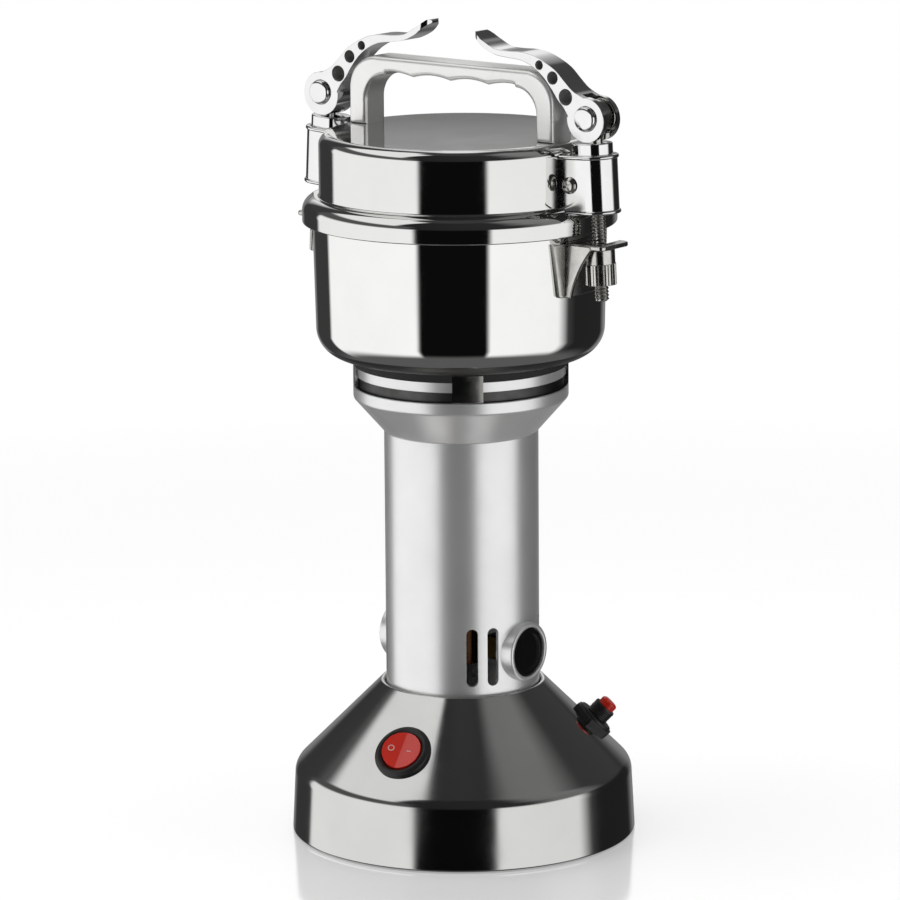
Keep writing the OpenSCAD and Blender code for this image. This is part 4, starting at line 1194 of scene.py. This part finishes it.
@dataclass
class Lid:
    """The lid with its flange, and the carrying handle."""

    wall_r: float = 59.2
    flange_r: float = 66.3
    low: float = 264.41
    flange_h: float = 5.0
    flange_round: float = 6.0
    flange_edge: float = 0.6
    foot_blend: float = 0.8
    top: float = 301.91
    shoulder: float = 5.0
    sheet: float = 1.2
    handle_half: float = 54.0
    handle_top: float = 331.41
    handle_w: float = 14.0
    handle_edge: float = 1.9
    leg: float = 9.0
    bar: float = 7.7
    corner: float = 17.0
    inner_corner: float = 11.0
    finger_pitch: float = 20.0
    finger_dip: float = 1.4

    def section(self, shrink: float) -> List[Point]:
        """One face of the lid's sheet, from the flange edge to the middle of the top.

        Args:
            shrink: How far it lies inside the outer face.

        Returns:
            Radius and height of its points.
        """
        edge = self.flange_r - shrink
        rounding = self.flange_round - shrink
        turn_z = self.low + self.flange_h
        wall = self.wall_r - shrink
        shoulder = self.shoulder - shrink
        foot = turn_z + rounding
        blend = self.foot_blend + shrink
        points = [(edge, self.low), *arc(edge - rounding, turn_z, rounding, 0, 84, 16)]
        points += arc(wall + blend, foot + blend, blend, 262, 180, 6)
        points += arc(wall - shoulder, self.top - shrink - shoulder, shoulder, 0, 90, 14)
        return points + [(0.0, self.top - shrink)]

    def build(self) -> None:
        """Builds the lid and the handle."""
        edge = self.flange_edge
        outer = arc(self.flange_r - edge, self.low + edge, edge, -90, 0, 5) + self.section(0.0)[1:]
        inner = self.section(self.sheet)
        piece("lid_drawn", lathe(outer + inner[::-1], 256), "lid", BUFFED, ["lid_shell"])
        dress(SILICONE, "lid_seal")
        dress(ZINC, "handle_screws")
        self.build_handle()

    def hollows(self, reach: float) -> List[Point]:
        """The finger hollows under the handle's bar.

        Args:
            reach: How far to each side they go.

        Returns:
            Their points, from left to right.
        """
        under = self.handle_top - self.bar
        points: List[Point] = []
        for k in range(-2, 2):
            middle = (k + 0.5) * self.finger_pitch
            for s in range(17):
                t = -1 + s / 8
                x = middle + t * self.finger_pitch / 2
                if abs(x) < reach:
                    lift = self.finger_dip * math.cos(t * math.pi / 2) ** 0.9 if abs(t) < 1 else 0.0
                    points.append((x, under + lift))
        return points

    def build_handle(self) -> None:
        """Builds the bail with its finger hollows."""
        half, foot = self.handle_half, self.top
        inside = half - self.leg
        turn = self.inner_corner
        middle = self.handle_top - self.bar - turn
        outer = rounded([(half, foot, 0), (half, self.handle_top, self.corner),
                         (-half, self.handle_top, self.corner), (-half, foot, 0)], closed=False, steps=16)
        inner = [(-inside, foot), *arc(-inside + turn, middle, turn, 180, 92, 12),
                 *self.hollows(inside - turn), *arc(inside - turn, middle, turn, 88, 0, 12), (inside, foot)]
        bar = slab([outer + inner], -self.handle_w / 2, self.handle_w / 2, self.handle_edge, edge_steps=4)
        piece("bail_handle", upright(bar), "lid", BLASTED, ["handle"], crease=50.0)


@dataclass
class Clamp:
    """One cam clamp: guide on the lid, threaded rod, lever and knurled nut.

    It is drawn at the right side with its rod upright, and then leant and turned to its place.
    """

    side: Side
    clamp_r: float = 70.3
    lean: float = 3.0
    lid_r: float = 59.25
    lid_gap: float = 0.05
    guide_r: float = 7.2
    neck_len: float = 3.2
    guide_low: float = 273.91
    guide_top: float = 303.31
    cover_r: float = 8.9
    cover_t: float = 1.4
    cover_top: float = 298.51
    lip_r: float = 0.9
    screw_x: float = 62.9
    screw_r: float = 3.5
    screw_h: float = 2.0
    shank_r: float = 1.6
    shank_len: float = 4.0
    cross_half: Point = (0.5, 2.3)
    cross_low: float = 0.7
    cross_turn: float = 20.0
    pivot_z: float = 313.51
    rod_r: float = 3.0
    rod_low: float = 237.4
    pitch: float = 1.5
    thread_depth: float = 0.5
    tip_len: float = 0.8
    thread_over: float = 6.0
    eye_r: float = 7.6
    eye_t: float = 5.4
    pin_r: float = 5.2
    pin_proud: float = 2.0
    cam_r: float = 9.3
    cam_in: float = 0.25
    cam_drop: float = 0.6
    lever_w: float = 11.8
    lever_len: float = 59.8
    left_open: float = 3.0
    prong_gap: float = 6.6
    prong_clear: float = 0.6
    cut_out: float = 20.0
    cut_low: float = 290.0
    cut_high: float = 360.0
    nut_r: float = 6.5
    nut_low: float = 244.2
    nut_h: float = 9.0
    nut_top: float = 259.2
    knurl_teeth: int = 30
    knurl_depth: float = 0.45
    neck_back: float = 0.3
    bore_gap: float = 0.08
    handle_corner: float = 17.0
    corner_u: float = 33.3
    corner_w: float = 0.9
    rise: float = 18.7
    holes: Tuple[Corner, ...] = ((17.5, 6.3, 3.35), (42.0, 4.15, 2.65), (64.1, 3.86, 1.9))

    @property
    def pivot(self) -> Matrix:
        """The place of the lever's pivot."""
        return shift(self.clamp_r, 0, self.pivot_z)

    def turned(self, angle: float) -> Matrix:
        """A turn about the lever's pivot, in degrees."""
        return self.pivot @ spin(angle, "Y") @ shift(-self.clamp_r, 0, -self.pivot_z)

    def named(self, word: str) -> str:
        """A word with this side's name after it, as the bodies and nodes have it."""
        return word + "_" + self.side.word

    def put(self, name: str, mesh: Mesh, body: str, finish: Finish, *nodes: str,
            **shape: float) -> bpy.types.Object:
        """Turns a mesh of the right clamp to this side and makes it a piece.

        Args:
            name: The piece's name, without the side.
            mesh: Its mesh, which is used up.
            body: The body it moves with.
            finish: Its finish.
            nodes: CAD nodes it stands for.
            shape: Rounding and crease of its edges.

        Returns:
            The piece.
        """
        return piece(self.named(name), moved(mesh, self.side.turn), body, finish, nodes, **shape)

    def leant(self, mesh: Mesh) -> Mesh:
        """Leans a mesh about the pivot, its lower end outwards."""
        return moved(mesh, self.turned(-self.lean))

    def off_lid(self, mesh: Mesh) -> Mesh:
        """Leans a mesh and cuts it back to the lid's outer face."""
        lid = Lid()
        skin = lathe([(0.0, lid.low), *lid.section(-self.lid_gap)], 200, closed=False)
        return carved(self.leant(mesh), [skin])

    def plan(self, radius: float) -> List[Point]:
        """Outline of the guide from above: a round nose with flat sides back into the lid.

        Args:
            radius: Half its width.

        Returns:
            The outline from one end in the lid, round the nose, to the other.
        """
        back = self.lid_r - 4.0
        return [(back, -radius), *arc(self.clamp_r, 0, radius, -90, 90, 24), (back, radius)]

    def build(self) -> None:
        """Builds the clamp's pieces."""
        self.build_guide()
        self.build_cover()
        self.build_screws()
        self.build_rod()
        self.build_pin()
        self.build_lever()
        self.build_nut()

    def build_guide(self) -> None:
        """Builds the guide on the lid with the neck that the cam rests on."""
        block = self.off_lid(slab([self.plan(self.guide_r)], self.guide_low, self.cover_top, edge=0.4))
        outline = (arc(self.clamp_r, 0, self.guide_r, -90, 90, 24)
                   + arc(self.clamp_r - self.neck_len, 0, self.guide_r, 90, 270, 24))
        neck = self.leant(slab([outline], self.cover_top - 0.8, self.guide_top, edge=0.6, edge_steps=3))
        self.put("guide_block", joined(block, neck), "lid", CHROME, self.named("guide"))

    def build_cover(self) -> None:
        """Builds the bent cover with its rolled lips."""
        low, high = self.guide_low, self.cover_top
        outside = self.plan(self.cover_r)
        inside = self.plan(self.cover_r - self.cover_t)
        sheet = self.off_lid(slab([outside + inside[::-1]], low, high, edge=0.3))
        middle = self.plan(self.cover_r - 0.2)
        lips = [self.off_lid(bead([(x, y, z) for x, y in middle], self.lip_r))
                for z in (low + self.lip_r, high - self.lip_r)]
        self.put("guide_cover", joined(sheet, *lips), "lid", CHROME, self.named("cover"))

    def build_screws(self) -> None:
        """Builds the cover's two screws with their cross slots."""
        height = (self.guide_low + self.cover_top) / 2
        thin, long = self.cross_half
        head = rounded([
            (0.0, self.screw_h, 0), (2.4, self.screw_h - 0.1, 1.2), (self.screw_r, 0.7, 0.6),
            (self.screw_r, 0.0, 0), (self.shank_r, 0.0, 0), (self.shank_r, -self.shank_len, 0),
            (0.0, -self.shank_len, 0)], closed=False)
        for k, sign in enumerate((-1, 1)):
            cross = [box_mesh((-x, -y, self.cross_low), (x, y, self.screw_h + 1.0))
                     for x, y in ((thin, long), (long, thin))]
            screw = carved(lathe(head, 48, closed=False), cross)
            seat = shift(self.screw_x, sign * self.cover_r, height)
            screw = moved(screw, seat, spin(-90 * sign, "X"), spin(self.cross_turn, "Z"))
            nodes = ["cover_screws"] if self.side is Side.RIGHT and k == 0 else []
            self.put(f"cover_screw_{k + 1}", self.leant(screw), "lid", ZINC, *nodes)

    def thread(self, top: float) -> Mesh:
        """The rod's thread; a real M6 pitch is 1 mm, drawn coarser to show.

        Args:
            top: Height of its upper end.

        Returns:
            The mesh, standing on the axis.
        """
        rows_per_turn, sides = 10, 28
        rows = int((top - self.rod_low) / self.pitch * rows_per_turn)
        made = bmesh.new()
        rings = []
        for i in range(rows + 1):
            rise = i * self.pitch / rows_per_turn
            tip = max(0.0, 1.0 - rise / self.tip_len) * self.thread_depth
            ring = []
            for k in range(sides):
                phase = (i / rows_per_turn - k / sides) % 1.0
                radius = self.rod_r - self.thread_depth * abs(2 * phase - 1) - tip
                ring.append(made.verts.new((*polar(radius, 360.0 * k / sides), self.rod_low + rise)))
            rings.append(ring)
        for low, high in zip(rings, rings[1:]):
            for k in range(sides):
                n = (k + 1) % sides
                made.faces.new((low[k], low[n], high[n], high[k]))
        made.faces.new(rings[0][::-1])
        made.faces.new(rings[-1])
        return made

    def build_rod(self) -> None:
        """Builds the threaded rod with its eye."""
        top = self.guide_low + self.thread_over
        low, high = top - 1.0, self.pivot_z - self.eye_r + 1.5
        shank = lathe(rounded([(0.0, low, 0), (self.rod_r, low, 0.3), (self.rod_r, high, 0), (0.0, high, 0)],
                              closed=False), 48, closed=False)
        centre = shift(self.clamp_r, 0, 0)
        straight = [self.leant(moved(mesh, centre)) for mesh in (self.thread(top), shank)]
        half = self.eye_t / 2
        eye = slab([circle(self.eye_r, 72, hole=False), circle(self.pin_r + 0.05, 72)], -half, half, edge=0.5)
        whole = joined(*straight, moved(upright(eye), self.pivot))
        self.put("threaded_rod", whole, self.named("clamp_rod"), ZINC, self.named("rod"))

    def build_pin(self) -> None:
        """Builds the pivot pin with its low domes."""
        half = self.lever_w / 2 + self.pin_proud
        dome = [(0.0, half), (3.4, half - 0.05), (4.5, half - 0.25), (5.0, half - 0.7),
                (self.pin_r, half - 1.4)]
        pin = lathe(dome + [(r, -z) for r, z in reversed(dome)], 72, closed=False)
        pin = moved(pin, self.pivot, spin(90, "X"))
        self.put("pivot_pin", pin, self.named("clamp_rod"), CHROME, self.named("pin"))

    def about_corner(self, angle: float, out: float) -> Point:
        """A point on an arc about the handle's corner: how far towards the axis, and above the pivot."""
        x, y = polar(self.handle_corner + 0.8 + out, angle)
        return self.corner_u - x, self.corner_w + y

    def outline(self) -> List[Point]:
        """Outline of the lever from the side.

        Returns:
            Its points: how far towards the axis, and how far above the pivot.
        """
        over, end, about = self.rise, self.lever_len, self.about_corner
        under = smooth_curve([
            (self.cam_r - 0.2, 0.4), (self.cam_r + 2.3, 4.0), about(17, 2.0), about(32.5, 0.9),
            about(53, 0.9), about(71, 1.6), about(89, 2.9), (end - 19.1, over + 3.6),
            (end - 13.0, over + 4.4), (end - 6.9, over + 6.8), (end - 3.5, over + 9.4),
            (end - 0.7, over + 11.3)], 6)
        upper = smooth_curve([
            (1.0, self.cam_r - self.cam_drop - 0.2), (6.6, self.cam_r + 1.8), about(32.5, 8.4),
            about(45.6, 7.5), about(59.2, 6.6), about(74.9, 6.4), about(89.3, 6.5),
            (end - 19.0, over + 6.4), (end - 12.9, over + 6.9), (end - 7.8, over + 9.2),
            (end - 4.6, over + 10.9), (end - 1.7, over + 12.9)], 6)
        tip = arc(end - 1.2, over + 12.1, 0.95, -50, 114, 8)
        ring = arc(self.cam_in, -self.cam_drop, self.cam_r, 88, 364, 60)
        return under + tip + upper[::-1] + ring

    def build_lever(self) -> None:
        """Builds the lever: cam ring with two prongs, a curved arm with holes and a turned-up tip."""
        places = [(*self.about_corner(angle, out), radius) for angle, out, radius in self.holes]
        holes = [circle(self.pin_r + self.bore_gap, 60), *(circle(r, 40, u, w) for u, w, r in places)]
        side = self.lever_w / 2
        arm = upright(slab([self.outline(), *holes], -side, side, edge=0.2))
        arm = moved(arm, self.pivot, Matrix.Diagonal((-1, 1, 1, 1)))
        bmesh.ops.reverse_faces(arm, faces=arm.faces)
        past, tip = self.clamp_r + self.cut_out, self.clamp_r - self.lever_len + side
        plan = [(past, -side - 0.05), (past, side + 0.05), *arc(tip, 0, side + 0.05, 90, 270, 20)]
        arm = carved(arm, [slab([plan], self.cut_low, self.cut_high)], keep=True)
        half = self.prong_gap / 2
        space = upright(slab([circle(self.eye_r + self.prong_clear, 72, hole=False)], -half, half))
        slot = box_mesh((self.clamp_r - self.rod_r - self.prong_clear, -half, self.cut_low),
                        (past, half, self.cut_high - 20.0))
        arm = carved(arm, [moved(space, self.pivot), slot])
        # Walls of the arm's holes get the holes' painted shade.
        for u, w, radius in places:
            for face in arm.faces:
                middle = face.calc_center_median()
                off = math.hypot(self.clamp_r - u - middle.x, self.pivot_z + w - middle.z)
                if off < radius + 0.1 and abs(face.normal.y) < 0.5:
                    face.material_index = 1
        if self.side is Side.LEFT:
            arm = moved(arm, self.turned(self.left_open))
        lever = self.put(
            "cam_lever", arm, self.named("clamp_lever"), CHROME, self.named("lever"), crease=10.0)
        lever.data.materials.append(HOLE_SHADE.material())

    def build_nut(self) -> None:
        """Builds the nut with its straight knurl and smooth neck."""
        root, step = self.nut_r - self.knurl_depth, 360.0 / self.knurl_teeth
        outline = [polar(radius, step * (k + share)) for k in range(self.knurl_teeth)
                   for share, radius in ((0.0, root), (0.3, self.nut_r), (0.7, self.nut_r))]
        bore, neck_r = self.rod_r + self.bore_gap, self.nut_r - self.neck_back
        top = self.nut_low + self.nut_h
        grip = slab([outline, circle(bore, 40)], self.nut_low, top, edge=0.35)
        neck = lathe(rounded([(bore, top - 0.2, 0), (neck_r, top - 0.2, 0), (neck_r, self.nut_top, 0.5),
                              (bore, self.nut_top, 0.3)]), 64)
        nut = moved(joined(grip, neck), shift(self.clamp_r, 0, 0))
        self.put("knurled_nut", self.leant(nut), self.named("clamp_nut"), ZINC, self.named("nut"))


@dataclass
class Works:
    """The motor and the blades, which keep their CAD shapes."""

    # The copper of windings and commutator holds painted shade for the tube's dim inside.
    finishes: Dict[str, Finish] = field(default_factory=lambda: {
        "motor_shaft": GROUND, "lower_bearing": GROUND, "upper_bearing": GROUND, "lower_blade": GROUND,
        "upper_blade": GROUND, "brush_springs": GROUND, "blade_spacers": ZINC, "blade_nut": ZINC,
        "armature_core": LAMINATED, "stator_core": LAMINATED, "armature_windings": VARNISHED_WIRE_AND_SHADE,
        "stator_coils": VARNISHED_WIRE_AND_SHADE, "commutator": BROWNED_COPPER_AND_SHADE, "brush_holders": BRASS, "carbon_brushes": GRAPHITE,
        "cooling_fan": GREY})

    def build(self) -> None:
        """Dresses the motor and the blades."""
        for name, finish in self.finishes.items():
            dress(finish, name)


@dataclass
class Studio:
    """Camera, floor and the soft light round the object.

    A band of light gives brightness by the angle from the camera to the right, in degrees. The level
    band lies at the object's height, the raised and the high one above it. The backdrop stands
    behind the object and gives brightness by the angle above the floor.
    """

    azimuth: float = 38.0
    distance: float = 2.119
    height: float = 0.6116
    aim: Corner = (-0.0038, -0.0030, 0.1654)
    lens: float = 204.0
    roll: float = -0.42
    floor_size: float = 14.0
    floor_tone: str = "#F4F4F4"
    floor_glow: float = 0.40
    floor_shine: float = 0.36
    floor_rough: float = 0.12
    floor_fade: Point = (0.3, 0.9)
    lamp_size: float = 3.0
    lamp_power: float = 45.0
    lamp_z: float = 2.6
    level: Tuple[Point, ...] = (
        (-180, 0.24), (-166, 0.24), (-158, 0.045), (-128, 0.045), (-124, 1.08), (-35.5, 1.12),
        (-32, 0.004), (20.5, 0.004), (24, 1.10), (84, 1.05), (95, 0.05), (104, 0.018), (148, 0.02),
        (162, 0.24), (180, 0.24))
    raised: Tuple[Point, ...] = (
        (-180, 0.05), (-136, 0.05), (-131, 0.10), (-42, 0.10), (-34, 0.02), (46, 0.03), (68, 0.20),
        (96, 0.22), (114, 0.05), (180, 0.07))
    high: Tuple[Point, ...] = (
        (-180, 0.05), (-136, 0.05), (-131, 1.0), (-56, 1.0), (-50, 0.02), (36, 0.03), (60, 0.22), (96, 0.24),
        (114, 0.05), (180, 0.07))
    behind: Tuple[Point, ...] = (
        (-180, 1.0), (-172, 1.0), (-158, 0.0), (158, 0.0), (172, 1.0), (180, 1.0))
    backdrop: Tuple[Point, ...] = (
        (-90, 0.24), (7.0, 0.24), (7.9, 0.015), (8.22, 0.015), (8.34, 0.36), (11.5, 0.40), (13.0, 0.95),
        (90, 0.95))
    raised_from: Point = (10.0, 18.0)
    high_from: Point = (31.0, 38.0)
    zenith_from: Point = (70.0, 76.0)
    zenith: float = 0.05
    nadir_from: Point = (-26.0, -44.0)
    nadir: float = 0.11

    def build(self) -> None:
        """Builds camera, floor, lamp and world."""
        self.build_camera()
        self.build_floor()
        self.build_lamp()
        self.build_world()
        bpy.context.scene.view_settings.view_transform = "Standard"

    def build_camera(self) -> None:
        """Puts the camera at the photograph's place."""
        x, y = polar(self.distance, self.azimuth - 90)
        eye = Vector((x, y, self.height))
        data = bpy.data.cameras.new("camera")
        data.lens = self.lens
        data.sensor_width = 36.0
        data.clip_end = 100.0
        camera = bpy.data.objects.new("camera", data)
        bpy.context.scene.collection.objects.link(camera)
        look = (Vector(self.aim) - eye).to_track_quat("-Z", "Y").to_matrix().to_4x4()
        camera.matrix_world = shift(*eye) @ look @ spin(self.roll, "Z")
        bpy.context.scene.camera = camera

    def build_floor(self) -> None:
        """Lays the white table, which keeps the object's shadow and a faint reflection of its base."""
        data = bpy.data.meshes.new("floor")
        half = self.floor_size / 2
        corners = [(-half, -half, 0), (half, -half, 0), (half, half, 0), (-half, half, 0)]
        data.from_pydata(corners, [], [(0, 1, 2, 3)])
        floor = bpy.data.objects.new("floor", data)
        bpy.context.scene.collection.objects.link(floor)
        made = empty_material("Acrylic_sheet_white")
        tree = made.node_tree
        matt = add_node(tree, "BsdfDiffuse", {"Color": linear(self.floor_tone)})
        glow = add_node(tree, "Emission", {"Color": WHITE, "Strength": self.floor_glow})
        white = add_node(tree, "AddShader", links={0: matt.outputs[0], 1: glow.outputs[0]})
        shine = add_node(tree, "BsdfAnisotropic", {"Color": WHITE, "Roughness": self.floor_rough})
        near = add_node(tree, "MixShader", {0: self.floor_shine}, {1: white.outputs[0], 2: shine.outputs[0]})
        place = add_node(tree, "TexCoord").outputs["Object"]
        away = add_node(tree, "VectorMath", links={0: place}, operation="LENGTH")
        span = {"From Min": self.floor_fade[0], "From Max": self.floor_fade[1]}
        fade = add_node(tree, "MapRange", span, {"Value": away.outputs["Value"]})
        plain = add_node(tree, "Emission", {"Color": WHITE, "Strength": 1.0})
        links = {0: fade.outputs[0], 1: near.outputs[0], 2: plain.outputs[0]}
        ground = add_node(tree, "MixShader", links=links)
        add_node(tree, "OutputMaterial", links={"Surface": ground.outputs[0]})
        data.materials.append(made)
        floor.visible_glossy = False

    def build_lamp(self) -> None:
        """Hangs a broad lamp overhead that lights the table; the mirror-like metal doesn't show it."""
        data = bpy.data.lights.new("overhead", "AREA")
        data.size = self.lamp_size
        data.energy = self.lamp_power
        lamp = bpy.data.objects.new("overhead", data)
        lamp.location = (0.0, 0.0, self.lamp_z)
        lamp.visible_glossy = False
        bpy.context.scene.collection.objects.link(lamp)

    def build_world(self) -> None:
        """Surrounds the object with two soft boxes, a dark gap at the camera and a pale backdrop."""
        world = bpy.data.worlds.new("studio")
        bpy.context.scene.world = world
        world.use_nodes = True
        tree = world.node_tree
        tree.nodes.clear()
        place = add_node(tree, "TexCoord").outputs["Generated"]
        facing = add_node(tree, "VectorRotate", {
            "Axis": (0, 0, 1), "Angle": math.radians(90 - self.azimuth)}, {"Vector": place})
        parts = add_node(tree, "SeparateXYZ", links={0: facing.outputs[0]}).outputs
        turn = add_node(tree, "Math", links={0: parts["Y"], 1: parts["X"]}, operation="ARCTAN2").outputs[0]
        lift = add_node(tree, "Math", links={0: parts["Z"]}, operation="ARCSINE").outputs[0]
        bands = (self.level, self.raised, self.high, self.behind)
        level, raised, high, behind = (self.band(tree, turn, stops, 180) for stops in bands)
        backdrop = self.band(tree, lift, self.backdrop, 90)
        above = self.between(tree, self.risen(tree, lift, self.high_from), raised, high)
        light = self.between(tree, self.risen(tree, lift, self.raised_from), level, above)
        light = self.between(tree, behind, light, backdrop)
        light = self.between(tree, self.risen(tree, lift, self.zenith_from), light, self.zenith)
        light = self.between(tree, self.risen(tree, lift, self.nadir_from), light, self.nadir)
        studio = add_node(tree, "Background", {"Strength": 1.0}, {"Color": light})
        plain = add_node(tree, "Background", {"Color": WHITE, "Strength": 1.0})
        seen = add_node(tree, "LightPath").outputs["Is Camera Ray"]
        shown = add_node(tree, "MixShader", links={0: seen, 1: studio.outputs[0], 2: plain.outputs[0]})
        add_node(tree, "OutputWorld", links={"Surface": shown.outputs[0]})

    @staticmethod
    def band(tree: Tree, angle: Socket, stops: Sequence[Point], half: float) -> Socket:
        """Brightness of the studio by an angle.

        Args:
            tree: The world's node tree.
            angle: The angle, in radians.
            stops: Angles in degrees, each with its brightness.
            half: How far the angle goes to each side, in degrees.

        Returns:
            The colour socket.
        """
        reach = math.radians(half)
        share = add_node(tree, "MapRange", {"From Min": -reach, "From Max": reach}, {"Value": angle})
        return ramp(tree, share.outputs[0], [((at + half) / (2 * half), value) for at, value in stops])

    @staticmethod
    def risen(tree: Tree, lift: Socket, span: Point) -> Socket:
        """How far an elevation has gone from one angle to another.

        Args:
            tree: The world's node tree.
            lift: The elevation, in radians.
            span: The two angles, in degrees.

        Returns:
            A socket that goes softly from 0 to 1.
        """
        values = {"From Min": math.radians(span[0]), "From Max": math.radians(span[1])}
        return add_node(tree, "MapRange", values, {"Value": lift}, interpolation_type="SMOOTHSTEP").outputs[0]

    @staticmethod
    def between(tree: Tree, factor: Socket, first: Socket, second: Union[Socket, float]) -> Socket:
        """Goes from one light to another.

        Args:
            tree: The world's node tree.
            factor: Share of the second light.
            first: The first light.
            second: The second light, or the one brightness it has.

        Returns:
            The colour socket.
        """
        mixed = add_node(tree, "Mix", links={"Factor": factor, MIX_A: first}, data_type="RGBA")
        if isinstance(second, float):
            mixed.inputs[MIX_B].default_value = (second, second, second, 1.0)
        else:
            tree.links.new(second, mixed.inputs[MIX_B])
        return mixed.outputs[MIX_OUT]


def write_sizes() -> None:
    """Brings the scene's placements up to date."""
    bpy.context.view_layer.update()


def main() -> None:
    """Builds the sub-assemblies in order."""
    logging.basicConfig(level=logging.INFO, format="%(message)s")
    Studio().build()
    Base().build()
    Column().build()
    Bowl().build()
    Lid().build()
    for side in Side:
        Clamp(side).build()
    Works().build()
    write_sizes()


if __name__ == "__main__":
    main()
